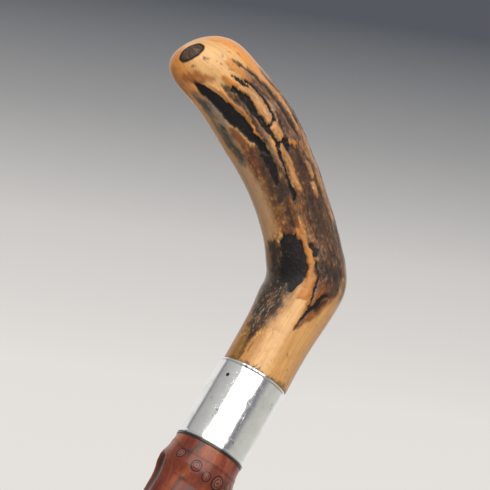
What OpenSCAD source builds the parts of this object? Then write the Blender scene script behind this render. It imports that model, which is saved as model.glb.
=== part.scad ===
// Country walking cane: a polished stag antler handle on a root-end bamboo shaft.
// A plain silver collar covers the joint and a brass ferrule guards the tip.
// Millimetres. The shaft runs along +Z, the tip rests on Z = 0 and the nose of
// the handle points towards -X.

/* [Shaft] */
// Length of the bamboo between the ferrule shoulder and the spacer
shaft_len = 735; // [600:5:800]
// How far the top of the bamboo lies inside the collar's outside face
shaft_set_back = 0.1; // [0:0.05:0.4]
// Diameter of the bamboo where it enters the ferrule
shaft_tip_d = 18.4; // [18:0.2:22]
// Number of nodes along the bamboo
node_count = 13; // [6:1:16]
// Distance from the top of the bamboo to the first node
first_node = 9; // [7:0.5:14]
// Last internode divided by the first one
node_growth = 1.9; // [1:0.1:3]
// Height that a node stands proud of the bamboo
node_swell = 1.5; // [0.5:0.1:2.5]
// Length of the swelling on each side of a node
node_reach = 8; // [5:0.5:10]
// Depth of the groove that runs down from each node
groove_depth = 1.5; // [0.5:0.1:2.5]
// Radius of the tool that would cut the groove
groove_r = 5; // [3:0.5:8]
// Length of a groove as a share of its internode
groove_share = 0.7; // [0.4:0.05:0.75]
// Diameter of the hollow inside the bamboo
hollow_d = 7; // [4:0.5:9]
// Thickness of the wood left across the hollow at each node
diaphragm_t = 6; // [3:0.5:12]

/* [Collar] */
// Outside diameter of the collar
collar_d = 25.4; // [25:0.2:32]
// Height of the collar
collar_h = 30; // [22:0.5:40]
// Thickness of the silver
collar_wall = 0.8; // [0.5:0.1:1.2]
// Bead on the rims of the collar, beyond its wall
collar_bead = 0.15; // [0.1:0.05:0.4]
// Height of each bead
bead_h = 0.8; // [0.5:0.1:2]
// Share of the collar that the handle fills
handle_share = 0.5; // [0.4:0.05:0.6]
// Diameter of the pin through the collar
collar_pin_d = 1.4; // [1:0.1:2]
// Length of the pin
collar_pin_len = 5; // [3:0.5:6]
// Distance from the top rim to the pin
collar_pin_drop = 6; // [4:0.5:8]
// Direction of the pin round the collar
collar_pin_deg = 210; // [0:5:355]
// Thickness of the black horn spacer under the collar
spacer_t = 1; // [0.6:0.1:3]
// How far the spacer stands out past the collar
spacer_proud = 0.1; // [0:0.05:0.5]

/* [Handle] */
// Height of the straight neck above the collar
neck_len = 35.2; // [25:0.1:50]
// Centreline radius of the elbow
elbow_r = 12.6; // [8:0.1:25]
// Angle that the elbow turns through
elbow_deg = 41.5; // [20:0.5:50]
// Length over which the elbow eases in and out
elbow_ease = 12; // [10:0.5:16]
// Centreline radius of the arm
arm_r = 116.5; // [90:0.5:160]
// Angle that the arm turns through
arm_deg = 45.6; // [35:0.1:60]
// How far the neck lies inside the collar's outside face, all round
neck_set_back = 0.2; // [0:0.05:0.6]
// Radius half way up the neck, in the plane of the bend
neck_mid_r = 12.8; // [12:0.1:15]
// Radius at the elbow
elbow_body_r = 14.6; // [13:0.1:17]
// Radius of the waist past the elbow
waist_r = 13.3; // [12:0.1:16]
// Radius in the middle of the arm
mid_arm_r = 13.4; // [12:0.1:16]
// Radius of the swelling before the nose
swell_r = 14.3; // [12:0.1:17]
// Radius behind the nose
nose_root_r = 13.9; // [12:0.1:17]
// Radius that the nose is rounded from
nose_r = 18.9; // [16:0.1:21]
// Width of the handle across the bend, as a share of its height
side_share = 0.94; // [0.85:0.01:1.05]
// Length of the rounded nose
nose_len = 30; // [20:0.5:34]
// Fullness of the rounded nose, where 2 is an ellipse
nose_fullness = 2.3; // [2:0.1:4]
// How far the face of the nose tips upwards
nose_tilt = 22; // [0:1:35]
// How far the foot of the neck stands over towards the outside of the bend
neck_shift = 0.5; // [0:0.1:0.6]

/* [Joint] */
// Diameter of the screwed rod that joins the handle to the shaft
rod_d = 8; // [6:0.5:10]
// Depth of the rod in the handle, above the collar
rod_up = 24; // [15:1:28]
// Depth of the rod below the spacer
rod_down = 42; // [25:1:60]
// Pitch of the rod's thread
rod_pitch = 2.5; // [2:0.25:4]
// Depth of the rod's thread
rod_thread = 0.6; // [0.3:0.1:0.8]
// Wall of the hardwood bush round the rod in the bamboo
bush_wall = 2; // [1.5:0.1:3]
// Gap filled with glue between the parts of the joint
glue_gap = 0.1; // [0.05:0.05:0.2]

/* [Ferrule] */
// Height of the brass ferrule
ferrule_h = 38; // [25:1:60]
// How far the ferrule stands out past the bamboo
ferrule_proud = 0.2; // [0:0.05:0.6]
// Thickness of the brass
ferrule_wall = 0.9; // [0.6:0.1:1.2]
// Height of the iron tip below the ferrule
tip_h = 5; // [3:0.5:10]
// Rounding of the iron tip's lower edge
tip_round = 1.2; // [0.5:0.1:2.5]
// Height of the iron tip's spigot inside the ferrule
tip_spigot_h = 6; // [4:0.5:10]
// Length of the hardwood plug in the end of the bamboo
plug_len = 55; // [30:1:70]
// Diameter of the iron tip's nail
nail_d = 3; // [2:0.5:4]
// Length of the nail above the iron tip
nail_len = 24; // [12:1:28]
// Diameter of each pin through the ferrule
ferrule_pin_d = 1.6; // [1:0.1:2.4]
// Length of each pin
ferrule_pin_len = 4; // [3:0.5:5]
// Distance from the ferrule's top rim to its pins
ferrule_pin_drop = 6; // [4:0.5:10]

/* [Hidden] */

$fn = 64;

// Heights of the seats along the shaft
ferrule_foot = tip_h;
spigot_foot = tip_h + tip_spigot_h + glue_gap;
shaft_foot = ferrule_foot + ferrule_h;
shaft_top = shaft_foot + shaft_len;
collar_foot = shaft_top + spacer_t;
collar_top = collar_foot + collar_h;
joint_z = collar_foot + collar_h * (1 - handle_share);
rod_top = collar_top + rod_up;
rod_foot = collar_foot - rod_down;

// Radii of the fits
collar_r = collar_d / 2;
shaft_top_r = collar_r - shaft_set_back;
shaft_tip_r = shaft_tip_d / 2;
neck_r = collar_r - neck_set_back;
collar_in_r = collar_r - collar_wall;
tenon_r = collar_in_r - glue_gap;
ferrule_r = shaft_tip_r + ferrule_proud;
ferrule_in_r = ferrule_r - ferrule_wall;
spigot_r = ferrule_in_r - glue_gap;
rod_r = rod_d / 2;
rod_bore_r = rod_r + glue_gap;
bush_r = rod_bore_r + bush_wall;
bush_foot = rod_foot - 2 * glue_gap;
bush_bore_r = bush_r + glue_gap;
hollow_r = hollow_d / 2;
nail_r = nail_d / 2;
plug_r = hollow_r - glue_gap;
plug_top = spigot_foot + plug_len;

// Places of the bamboo's nodes, counted down from the handle
// The last internode is cut short at the ferrule, to this share of its length
tip_run = 0.6;
growth_step = pow(node_growth, 1 / (node_count - 1));
function run_share(n) = n == 0 ? 0 : run_share(n - 1) + pow(growth_step, n - 1);
last_share = run_share(node_count - 1) + tip_run * pow(growth_step, node_count - 1);
node_run = (shaft_len - first_node) / last_share;
function internode(n) = node_run * pow(growth_step, n);
function node_z(n) = shaft_top - first_node - node_run * run_share(n);
function bamboo_r(z) = shaft_tip_r + (shaft_top_r - shaft_tip_r) * (z - shaft_foot) / shaft_len;
// The first groove lies on the nose's side, and they change sides from node to node
groove_start_deg = 175;
groove_wander_deg = 9;
groove_wander_step = 97;
function groove_deg(n) =
    groove_start_deg + 180 * (n % 2) + groove_wander_deg * sin(groove_wander_step * n);

// Outline of a node, as [height, swelling] in shares of its reach and its swell
node_shape = [[1, 0], [0.5, 0.35], [0.2, 0.85], [0, 1], [-0.25, 0.75], [-0.5, 0.3], [-1, 0]];

// Centreline of the handle
elbow_len = elbow_r * elbow_deg * PI / 180;
arm_len = arm_r * arm_deg * PI / 180;
handle_len = neck_len + elbow_len + arm_len;
// Radii at even steps along the handle
handle_radii = [neck_r, neck_mid_r, elbow_body_r, waist_r, mid_arm_r, swell_r, nose_root_r, nose_r];
radius_steps = len(handle_radii) - 1;

// Lean of the centreline from upright, at a length s along it
function lean(s) =
    s < neck_len ? 0
    : s < neck_len + elbow_len ? elbow_deg * (s - neck_len) / elbow_len
    : elbow_deg + arm_deg * (s - neck_len - elbow_len) / arm_len;
elbow_end = [-elbow_r * (1 - cos(elbow_deg)), neck_len + elbow_r * sin(elbow_deg)];
function centre(s) =
    s < neck_len ? [0, s]
    : s < neck_len + elbow_len ? [-elbow_r * (1 - cos(lean(s))), neck_len + elbow_r * sin(lean(s))]
    : elbow_end + arm_r * [cos(lean(s)) - cos(elbow_deg), sin(lean(s)) - sin(elbow_deg)];
// Lean of the rings, which eases through the elbow so that they never cross
ease_start = neck_len - elbow_ease;
ease_end = neck_len + elbow_len + elbow_ease;
function ring_lean(s) =
    s < ease_start ? 0
    : s < ease_end ? lean(ease_end) * (s - ease_start) / (ease_end - ease_start)
    : lean(s);
function foot_share(s) = pow(max(0, 1 - s / neck_len), 2);
function foot_shift(s) = neck_shift * foot_share(s);
// The neck is round at the collar and narrows sideways above it
function side(s) = side_share + (1 - side_share) * foot_share(s);

// Smooth curve through the even steps of the handle's radii
function step_radius(i) = handle_radii[max(0, min(radius_steps, i))];
function curve(a, b, c, d, f) =
    b + f / 2 * (c - a + f * (2 * a - 5 * b + 4 * c - d + f * (3 * (b - c) + d - a)));
function body_r(s) =
    let (x = radius_steps * s / handle_len, i = min(radius_steps - 1, floor(x)))
    curve(step_radius(i - 1), step_radius(i), step_radius(i + 1), step_radius(i + 2), x - i);
function nose_share(s) = max(0, (s - handle_len + nose_len) / nose_len);
function nose_close(k) = pow(max(0, 1 - pow(k, nose_fullness)), 1 / nose_fullness);

body_rings = 46;
nose_rings = 12;
ring_points = 40;
body_end = handle_len - nose_len;
// Ring places: even along the body and closer towards the tip of the nose
ring_places = concat(
    [for (i = [0 : body_rings]) body_end * i / body_rings],
    [for (i = [1 : nose_rings - 1]) body_end + nose_len * sin(90 * i / nose_rings)]
);
function ring_point(s, j) =
    let (
        a = ring_lean(s) - nose_tilt * nose_share(s),
        r = body_r(s) * nose_close(nose_share(s)),
        q = 360 * j / ring_points,
        c = centre(s)
    )
    [
        c[0] + foot_shift(s) + r * cos(q) * cos(a),
        r * side(s) * sin(q),
        c[1] + r * cos(q) * sin(a)
    ];

module antler_body() {
    rings = len(ring_places);
    tip = centre(handle_len);
    points = concat(
        [for (s = ring_places, j = [0 : ring_points - 1]) ring_point(s, j)],
        [[tip[0], 0, tip[1]], [foot_shift(0), 0, 0]]
    );
    nose_point = rings * ring_points;
    foot_point = nose_point + 1;
    last = (rings - 1) * ring_points;
    sides = [
        for (i = [0 : rings - 2], j = [0 : ring_points - 1])
            let (a = i * ring_points, b = a + ring_points, k = (j + 1) % ring_points)
            each [[a + j, b + j, b + k], [a + j, b + k, a + k]]
    ];
    caps = [
        for (j = [0 : ring_points - 1])
            let (k = (j + 1) % ring_points)
            each [[last + j, nose_point, last + k], [j, k, foot_point]]
    ];
    polyhedron(points, concat(sides, caps), convexity = 6);
}

module antler_handle() {
    color([0.80, 0.58, 0.33])
    difference() {
        union() {
            translate([0, 0, collar_top]) antler_body();
            translate([0, 0, joint_z]) cylinder(r = tenon_r, h = collar_top - joint_z + 1);
        }
        translate([0, 0, joint_z - 1]) cylinder(r = rod_bore_r, h = rod_top + glue_gap - joint_z + 1);
        collar_pin_hole(collar_pin_d / 2);
    }
}

module silver_collar() {
    color([0.82, 0.82, 0.80])
    difference() {
        translate([0, 0, collar_foot])
        rotate_extrude()
        polygon([
            [collar_in_r, 0],
            [collar_r, 0],
            [collar_r + collar_bead, bead_h * 0.3],
            [collar_r + collar_bead, bead_h * 0.7],
            [collar_r, bead_h],
            [collar_r, collar_h - bead_h],
            [collar_r + collar_bead, collar_h - bead_h * 0.7],
            [collar_r + collar_bead, collar_h - bead_h * 0.3],
            [collar_r, collar_h],
            [collar_in_r, collar_h]
        ]);
        collar_pin_hole(collar_pin_d / 2);
    }
}

// Round hole from outside the collar to the foot of its pin
module collar_pin_hole(r) {
    collar_pin_place()
    translate([0, 0, collar_r - collar_pin_len])
    cylinder(r = r, h = collar_pin_len + 2, $fn = 24);
}

module collar_pin_place() {
    translate([0, 0, collar_top - collar_pin_drop])
    rotate([0, 90, collar_pin_deg])
    children();
}

module collar_pin() {
    color([0.35, 0.33, 0.31])
    collar_pin_place()
    translate([0, 0, collar_r - collar_pin_len + glue_gap])
    cylinder(r = collar_pin_d / 2, h = collar_pin_len - 2 * glue_gap, $fn = 24);
}

module horn_spacer() {
    color([0.08, 0.07, 0.06])
    difference() {
        translate([0, 0, shaft_top]) cylinder(r = collar_r + spacer_proud, h = spacer_t);
        translate([0, 0, shaft_top - 1]) cylinder(r = collar_in_r, h = spacer_t + 2);
    }
}

module joining_rod() {
    rod_len = rod_top - rod_foot;
    threads = floor((rod_len - 2 * rod_pitch) / rod_pitch);
    color([0.45, 0.46, 0.48])
    translate([0, 0, rod_foot])
    rotate_extrude()
    polygon(concat(
        [[0, 0], [rod_r - rod_thread, 0], [rod_r, rod_thread]],
        [
            for (i = [1 : threads])
                each [
                    [rod_r, (i + 0.2) * rod_pitch],
                    [rod_r - rod_thread, (i + 0.5) * rod_pitch],
                    [rod_r, (i + 0.8) * rod_pitch]
                ]
        ],
        [[rod_r, rod_len - rod_thread], [rod_r - rod_thread, rod_len], [0, rod_len]]
    ));
}

module hardwood_bush() {
    color([0.55, 0.38, 0.22])
    difference() {
        translate([0, 0, bush_foot]) cylinder(r = bush_r, h = joint_z - glue_gap - bush_foot);
        translate([0, 0, rod_foot - glue_gap]) cylinder(r = rod_bore_r, h = joint_z - rod_foot + 1);
    }
}

module bamboo_outline() {
    polygon(concat(
        [
            [0, spigot_foot], [spigot_r, spigot_foot], [spigot_r, shaft_foot + glue_gap],
            [shaft_tip_r, shaft_foot + glue_gap]
        ],
        [
            for (n = [node_count - 1 : -1 : 0], p = [len(node_shape) - 1 : -1 : 0])
                let (z = min(shaft_top, node_z(n) + node_shape[p][0] * node_reach))
                [bamboo_r(z) + node_swell * node_shape[p][1], z]
        ],
        [[tenon_r, shaft_top], [tenon_r, joint_z - glue_gap], [0, joint_z - glue_gap]]
    ));
}

// One groove: a round scoop under its node that runs out down the internode
module groove(n) {
    run = internode(n) * groove_share;
    top = node_z(n) - node_reach * 0.3;
    rotate([0, 0, groove_deg(n)])
    translate([bamboo_r(top) + groove_r - groove_depth, 0, top])
    rotate([0, -atan(groove_depth / run), 0])
    mirror([0, 0, 1]) {
        cylinder(r = groove_r, h = run);
        sphere(r = groove_r);
    }
}

// Hollows of the bamboo, closed by a wall of wood at each node
module hollows() {
    for (n = [0 : node_count - 1]) {
        top = min(node_z(n), bush_foot) - diaphragm_t / 2;
        foot = n == node_count - 1 ? plug_top + diaphragm_t : node_z(n + 1) + diaphragm_t / 2;
        if (top - foot > hollow_d && foot > plug_top)
            translate([0, 0, foot]) cylinder(r = hollow_r, h = top - foot);
    }
}

module bamboo_shaft() {
    color([0.50, 0.20, 0.10])
    difference() {
        rotate_extrude() bamboo_outline();
        for (n = [0 : node_count - 1]) groove(n);
        translate([0, 0, bush_foot - glue_gap]) cylinder(r = bush_bore_r, h = joint_z - bush_foot + 1);
        translate([0, 0, spigot_foot - 1]) cylinder(r = hollow_r, h = plug_top + glue_gap - spigot_foot + 1);
        hollows();
        ferrule_pin_holes(ferrule_pin_d / 2);
    }
}

module tip_plug() {
    color([0.55, 0.38, 0.22])
    difference() {
        translate([0, 0, spigot_foot]) cylinder(r = plug_r, h = plug_top - spigot_foot);
        translate([0, 0, spigot_foot - 1]) cylinder(r = nail_r, h = nail_len + 1);
    }
}

module ferrule() {
    color([0.72, 0.56, 0.28])
    difference() {
        translate([0, 0, ferrule_foot]) cylinder(r = ferrule_r, h = ferrule_h);
        translate([0, 0, ferrule_foot - 1]) cylinder(r = ferrule_in_r, h = ferrule_h + 2);
        ferrule_pin_holes(ferrule_pin_d / 2);
    }
}

module ferrule_tip() {
    color([0.30, 0.29, 0.29])
    rotate_extrude()
    polygon([
        [0, 0],
        [ferrule_r - tip_round, 0],
        [ferrule_r - tip_round * 0.3, tip_round * 0.3],
        [ferrule_r, tip_round],
        [ferrule_r, tip_h],
        [spigot_r, tip_h],
        [spigot_r, tip_h + tip_spigot_h],
        [nail_r - glue_gap, tip_h + tip_spigot_h],
        [nail_r - glue_gap, spigot_foot + nail_len - nail_d],
        [0, spigot_foot + nail_len - glue_gap]
    ]);
}

module ferrule_pin_place() {
    for (side = [0, 180])
        translate([0, 0, shaft_foot - ferrule_pin_drop])
        rotate([0, 90, 90 + side])
        children();
}

module ferrule_pin_holes(r) {
    ferrule_pin_place()
    translate([0, 0, ferrule_r - ferrule_pin_len])
    cylinder(r = r, h = ferrule_pin_len + 2, $fn = 24);
}

// The pins end flat, just under the ferrule's round face
module ferrule_pins() {
    pin_r = ferrule_pin_d / 2;
    pin_foot = ferrule_r - ferrule_pin_len + glue_gap;
    pin_end = sqrt(pow(ferrule_r, 2) - pow(pin_r, 2));
    color([0.66, 0.50, 0.24])
    ferrule_pin_place()
    translate([0, 0, pin_foot])
    cylinder(r = pin_r, h = pin_end - pin_foot, $fn = 24);
}

antler_handle();
silver_collar();
collar_pin();
horn_spacer();
joining_rod();
hardwood_bush();
bamboo_shaft();
tip_plug();
ferrule();
ferrule_tip();
ferrule_pins();
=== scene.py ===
import bpy
import math
import random
import numpy as np
from mathutils import Matrix, Vector


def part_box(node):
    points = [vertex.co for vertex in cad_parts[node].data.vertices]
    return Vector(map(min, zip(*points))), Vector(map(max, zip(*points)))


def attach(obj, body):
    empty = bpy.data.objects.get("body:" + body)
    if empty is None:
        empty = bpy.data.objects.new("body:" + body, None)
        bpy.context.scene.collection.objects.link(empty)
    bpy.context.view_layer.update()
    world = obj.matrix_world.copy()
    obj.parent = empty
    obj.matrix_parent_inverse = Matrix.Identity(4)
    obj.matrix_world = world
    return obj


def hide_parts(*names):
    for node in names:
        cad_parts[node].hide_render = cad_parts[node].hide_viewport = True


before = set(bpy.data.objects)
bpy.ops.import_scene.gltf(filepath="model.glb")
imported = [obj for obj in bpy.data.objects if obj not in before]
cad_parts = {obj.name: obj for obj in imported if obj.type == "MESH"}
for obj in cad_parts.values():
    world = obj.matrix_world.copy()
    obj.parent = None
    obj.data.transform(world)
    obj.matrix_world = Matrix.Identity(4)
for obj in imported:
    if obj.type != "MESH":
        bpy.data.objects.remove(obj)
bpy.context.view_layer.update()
mm = 0.001

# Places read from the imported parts, in metres
collarLow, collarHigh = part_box("silver_collar")
collarFoot = collarLow.z
collarTop = collarHigh.z
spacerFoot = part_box("horn_spacer")[0].z
ferruleLow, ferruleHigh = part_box("ferrule")
print("frame loaded, collar from", round(collarFoot, 4), "to", round(collarTop, 4))


def deselectAll():
    if bpy.context.mode != "OBJECT":
        bpy.ops.object.mode_set(mode="OBJECT")
    bpy.ops.object.select_all(action="DESELECT")


def pick(piece):
    deselectAll()
    piece.select_set(True)
    bpy.context.view_layer.objects.active = piece


def namedPiece(name):
    piece = bpy.context.active_object
    piece.name = name
    piece.data.name = name
    return piece


def applyModifier(piece, kind, **settings):
    pick(piece)
    modifier = piece.modifiers.new(kind.lower(), kind)
    for key, value in settings.items():
        setattr(modifier, key, value)
    bpy.ops.object.modifier_apply(modifier=modifier.name)


def tidyMesh(piece, doubles=0.00001):
    pick(piece)
    bpy.ops.object.mode_set(mode="EDIT")
    bpy.ops.mesh.select_all(action="SELECT")
    bpy.ops.mesh.remove_doubles(threshold=doubles)
    bpy.ops.mesh.normals_make_consistent(inside=False)
    bpy.ops.object.mode_set(mode="OBJECT")


def settle(piece, material, nodes, sharp=None):
    # shading, material and the piece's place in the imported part
    pick(piece)
    if sharp is None:
        bpy.ops.object.shade_smooth()
    else:
        bpy.ops.object.shade_smooth_by_angle(angle=math.radians(sharp))
    piece.data.materials.clear()
    piece.data.materials.append(material)
    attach(piece, "root")
    if nodes:
        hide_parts(*nodes)


def vertexPlaces(piece):
    places = np.empty(len(piece.data.vertices) * 3)
    piece.data.vertices.foreach_get("co", places)
    return places.reshape(-1, 3)


def writeMask(piece, name, values):
    layer = piece.data.attributes.new(name, "FLOAT", "POINT")
    layer.data.foreach_set("value", values.astype(np.float32))


def writeVector(piece, name, values):
    layer = piece.data.attributes.new(name, "FLOAT_VECTOR", "POINT")
    layer.data.foreach_set("vector", values.astype(np.float32).ravel())


def writeColour(piece, name, values):
    layer = piece.data.attributes.new(name, "FLOAT_COLOR", "POINT")
    full = np.ones((len(values), 4), np.float32)
    full[:, :3] = values
    layer.data.foreach_set("color", full.ravel())


def toLinear(rgb):
    # a colour as seen on a screen, 0 to 255, to a shader's colour
    share = np.asarray(rgb, float) / 255
    return np.where(share <= 0.04045, share / 12.92, ((share + 0.055) / 1.055) ** 2.4)


def smoothStep(low, high, value):
    share = np.clip((value - low) / (high - low), 0, 1)
    return share * share * (3 - 2 * share)


class SoftNoise:
    # smooth random values in space, the same each run
    def __init__(self, seed):
        self.table = np.random.default_rng(seed).random(4096)

    def layer(self, x, y, z):
        ix, iy, iz = np.floor(x).astype(int), np.floor(y).astype(int), np.floor(z).astype(int)
        fx, fy, fz = x - ix, y - iy, z - iz
        fx, fy, fz = (f * f * (3 - 2 * f) for f in (fx, fy, fz))
        total = 0
        for dx in (0, 1):
            for dy in (0, 1):
                for dz in (0, 1):
                    spot = (ix + dx) * 73 + (iy + dy) * 179 + (iz + dz) * 283
                    weight = (fx if dx else 1 - fx) * (fy if dy else 1 - fy) * (fz if dz else 1 - fz)
                    total = total + weight * self.table[(spot * (spot % 97 + 13)) % 4096]
        return total

    def at(self, places, size, octaves=3):
        # about -1 to 1, with features of the given size
        total, strength, scale, whole = 0, 1.0, 1.0 / size, 0
        for _ in range(octaves):
            total = total + strength * (2 * self.layer(*(places * scale).T) - 1)
            whole += strength
            strength, scale = strength * 0.5, scale * 2.03
        return total / whole


# Shader helpers: each call adds one node, wires it and hands back its output

class Wiring:
    def __init__(self, tree):
        self.tree = tree

    def node(self, kind, **settings):
        made = self.tree.nodes.new(kind)
        for key, value in settings.items():
            setattr(made, key, value)
        return made

    def feed(self, socket, value):
        if isinstance(value, bpy.types.NodeSocket):
            self.tree.links.new(value, socket)
        elif isinstance(value, (tuple, list)) and len(value) == 3 and socket.type == "RGBA":
            socket.default_value = (*value, 1)
        else:
            socket.default_value = value

    def maths(self, operation, a, b=0.0, c=0.0, clamp=False):
        made = self.node("ShaderNodeMath", operation=operation, use_clamp=clamp)
        for socket, value in zip(made.inputs, (a, b, c)):
            self.feed(socket, value)
        return made.outputs[0]

    def times(self, a, b):
        return self.maths("MULTIPLY", a, b)

    def plus(self, a, b):
        return self.maths("ADD", a, b)

    def minus(self, a, b):
        return self.maths("SUBTRACT", a, b)

    def objectPlace(self):
        return self.node("ShaderNodeTexCoord").outputs["Object"]

    def upright(self, vector):
        # turned so that the fibres' first axis runs up the cane
        made = self.node("ShaderNodeMapping")
        self.feed(made.inputs["Vector"], vector)
        made.inputs["Rotation"].default_value = (0, math.radians(90), 0)
        return made.outputs[0]

    def remap(self, value, low, high, outLow=0.0, outHigh=1.0, smooth=True):
        made = self.node("ShaderNodeMapRange", clamp=True)
        if smooth:
            made.interpolation_type = "SMOOTHSTEP"
        for socket, given in zip(made.inputs, (value, low, high, outLow, outHigh)):
            self.feed(socket, given)
        return made.outputs[0]

    def blend(self, share, a, b, kind="MIX"):
        made = self.node("ShaderNodeMix", data_type="RGBA", blend_type=kind)
        self.feed(made.inputs[0], share)
        self.feed(made.inputs[6], a)
        self.feed(made.inputs[7], b)
        return made.outputs[2]

    def ramp(self, share, stops):
        made = self.node("ShaderNodeValToRGB")
        self.feed(made.inputs[0], share)
        band = made.color_ramp
        while len(band.elements) < len(stops):
            band.elements.new(0.5)
        for element, (place, colour) in zip(band.elements, stops):
            element.position = place
            element.color = (*colour, 1)
        return made.outputs[0]

    def stretched(self, vector, scale):
        made = self.node("ShaderNodeMapping")
        self.feed(made.inputs["Vector"], vector)
        made.inputs["Scale"].default_value = scale
        return made.outputs[0]

    def noise(self, vector, scale, detail=4.0, roughness=0.55, distortion=0.0):
        made = self.node("ShaderNodeTexNoise")
        for name, value in (("Vector", vector), ("Scale", scale), ("Detail", detail),
                            ("Roughness", roughness), ("Distortion", distortion)):
            self.feed(made.inputs[name], value)
        return made.outputs[0]

    def cells(self, vector, scale, feature="F1", randomness=1.0):
        made = self.node("ShaderNodeTexVoronoi", feature=feature)
        self.feed(made.inputs["Vector"], vector)
        self.feed(made.inputs["Scale"], scale)
        self.feed(made.inputs["Randomness"], randomness)
        return made.outputs["Distance"]

    def attribute(self, name, part="Color"):
        return self.node("ShaderNodeAttribute", attribute_name=name).outputs[part]

    def bump(self, height, distance, strength=1.0, normal=None):
        made = self.node("ShaderNodeBump")
        self.feed(made.inputs["Height"], height)
        made.inputs["Distance"].default_value = distance
        made.inputs["Strength"].default_value = strength
        if normal is not None:
            self.feed(made.inputs["Normal"], normal)
        return made.outputs[0]

    def group(self, name, **values):
        made = self.node("ShaderNodeGroup", node_tree=bpy.data.node_groups[name])
        for key, value in values.items():
            self.feed(made.inputs[key], value)
        return made.outputs


def newMaterial(name, **constants):
    # a Principled material; the constants are set on its own sockets
    material = bpy.data.materials.new(name)
    material.use_nodes = True
    wiring = Wiring(material.node_tree)
    shader = next(n for n in material.node_tree.nodes if n.type == "BSDF_PRINCIPLED")
    for key, value in constants.items():
        shader.inputs[key].default_value = value
    return material, wiring, shader


def newGroup(name, inputs, outputs):
    tree = bpy.data.node_groups.new(name, "ShaderNodeTree")
    for socketName, kind, value in inputs:
        socket = tree.interface.new_socket(socketName, in_out="INPUT", socket_type=kind)
        if value is not None:
            socket.default_value = value
    for socketName, kind in outputs:
        tree.interface.new_socket(socketName, in_out="OUTPUT", socket_type=kind)
    wiring = Wiring(tree)
    entry = wiring.node("NodeGroupInput").outputs
    leave = wiring.node("NodeGroupOutput").inputs
    return wiring, entry, leave


floatKind = "NodeSocketFloat"
vectorKind = "NodeSocketVector"


def makeFibreGroup():
    # long fibres or growth streaks that run along the first axis of the vector it gets
    wiring, entry, leave = newGroup(
        "growthFibres",
        [("Vector", vectorKind, None), ("Fineness", floatKind, 900.0), ("Contrast", floatKind, 1.0)],
        [("Streaks", floatKind), ("Height", floatKind)])
    along = wiring.stretched(entry["Vector"], (0.05, 1.0, 1.0))
    broad = wiring.noise(along, wiring.times(entry["Fineness"], 0.25), 3.0)
    fine = wiring.noise(along, entry["Fineness"], 5.0, 0.6)
    both = wiring.plus(wiring.times(broad, 0.5), wiring.times(fine, 0.5))
    centred = wiring.minus(both, 0.5)
    wiring.feed(leave["Streaks"], wiring.times(centred, entry["Contrast"]))
    wiring.feed(leave["Height"], fine)


def makeWearGroup():
    # rubbed metal: fine scratches in three directions, cloudy tarnish and small pits
    wiring, entry, leave = newGroup(
        "handledMetal",
        [("Vector", vectorKind, None), ("Fineness", floatKind, 1.0)],
        [("Scratches", floatKind), ("Tarnish", floatKind), ("Pits", floatKind)])
    scaled = wiring.node("ShaderNodeVectorMath", operation="SCALE")
    wiring.feed(scaled.inputs[0], entry["Vector"])
    wiring.feed(scaled.inputs["Scale"], entry["Fineness"])
    lines = None
    for stretch in ((60.0, 2600.0, 700.0), (2400.0, 150.0, 900.0), (1500.0, 1500.0, 90.0)):
        hair = wiring.noise(wiring.stretched(scaled.outputs[0], stretch), 1.0, 2.0, 0.7)
        thin = wiring.remap(hair, 0.66, 0.72)
        lines = thin if lines is None else wiring.maths("MAXIMUM", lines, thin)
    wiring.feed(leave["Scratches"], lines)
    wiring.feed(leave["Tarnish"], wiring.noise(scaled.outputs[0], 160.0, 6.0, 0.65))
    wiring.feed(leave["Pits"], wiring.remap(wiring.cells(scaled.outputs[0], 420.0), 0.05, 0.11, 1.0, 0.0))


def makeSpeckGroup():
    # scattered dark pores of uneven size
    wiring, entry, leave = newGroup(
        "scatteredPores",
        [("Vector", vectorKind, None), ("Size", floatKind, 1000.0), ("Amount", floatKind, 0.5)],
        [("Pores", floatKind)])
    dots = wiring.cells(entry["Vector"], entry["Size"])
    cloud = wiring.noise(entry["Vector"], wiring.times(entry["Size"], 0.35), 2.0)
    reach = wiring.times(wiring.times(cloud, entry["Amount"]), 0.6)
    gap = wiring.minus(reach, dots)
    wiring.feed(leave["Pores"], wiring.remap(gap, -0.04, 0.06))


makeFibreGroup()
makeWearGroup()
makeSpeckGroup()
print("shader groups made")

# Camera at the photograph's angle, aimed from the middle of the collar's top rim

view = {
    "azimuth": -20.0, "elevation": -16.0, "roll": 31.0,
    "distance": 700 * mm, "aimRight": -2.62 * mm, "aimUp": 46.05 * mm, "lens": 147.2,
}


def cameraAxes():
    turn, tilt, roll = (math.radians(view[key]) for key in ("azimuth", "elevation", "roll"))
    back = Vector((math.sin(turn) * math.cos(tilt), -math.cos(turn) * math.cos(tilt), math.sin(tilt)))
    level = (-back).cross(Vector((0, 0, 1))).normalized()
    upright = level.cross(-back)
    right = level * math.cos(roll) + upright * math.sin(roll)
    up = upright * math.cos(roll) - level * math.sin(roll)
    return right, up, back


viewRight, viewUp, viewBack = cameraAxes()
aim = Vector((0, 0, collarTop)) + viewRight * view["aimRight"] + viewUp * view["aimUp"]
deselectAll()
bpy.ops.object.camera_add(location=aim + viewBack * view["distance"])
camera = bpy.context.active_object
camera.name = "studioCamera"
camera.rotation_euler = Matrix((viewRight, viewUp, viewBack)).transposed().to_euler()
camera.data.lens = view["lens"]
camera.data.sensor_width = 36
camera.data.clip_start = 0.01
bpy.context.scene.camera = camera
print("camera placed")

# Pale studio: floor, a glowing backdrop behind the handle with painted shade, darker towards its top, one
# broad soft key and a low fill

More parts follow.
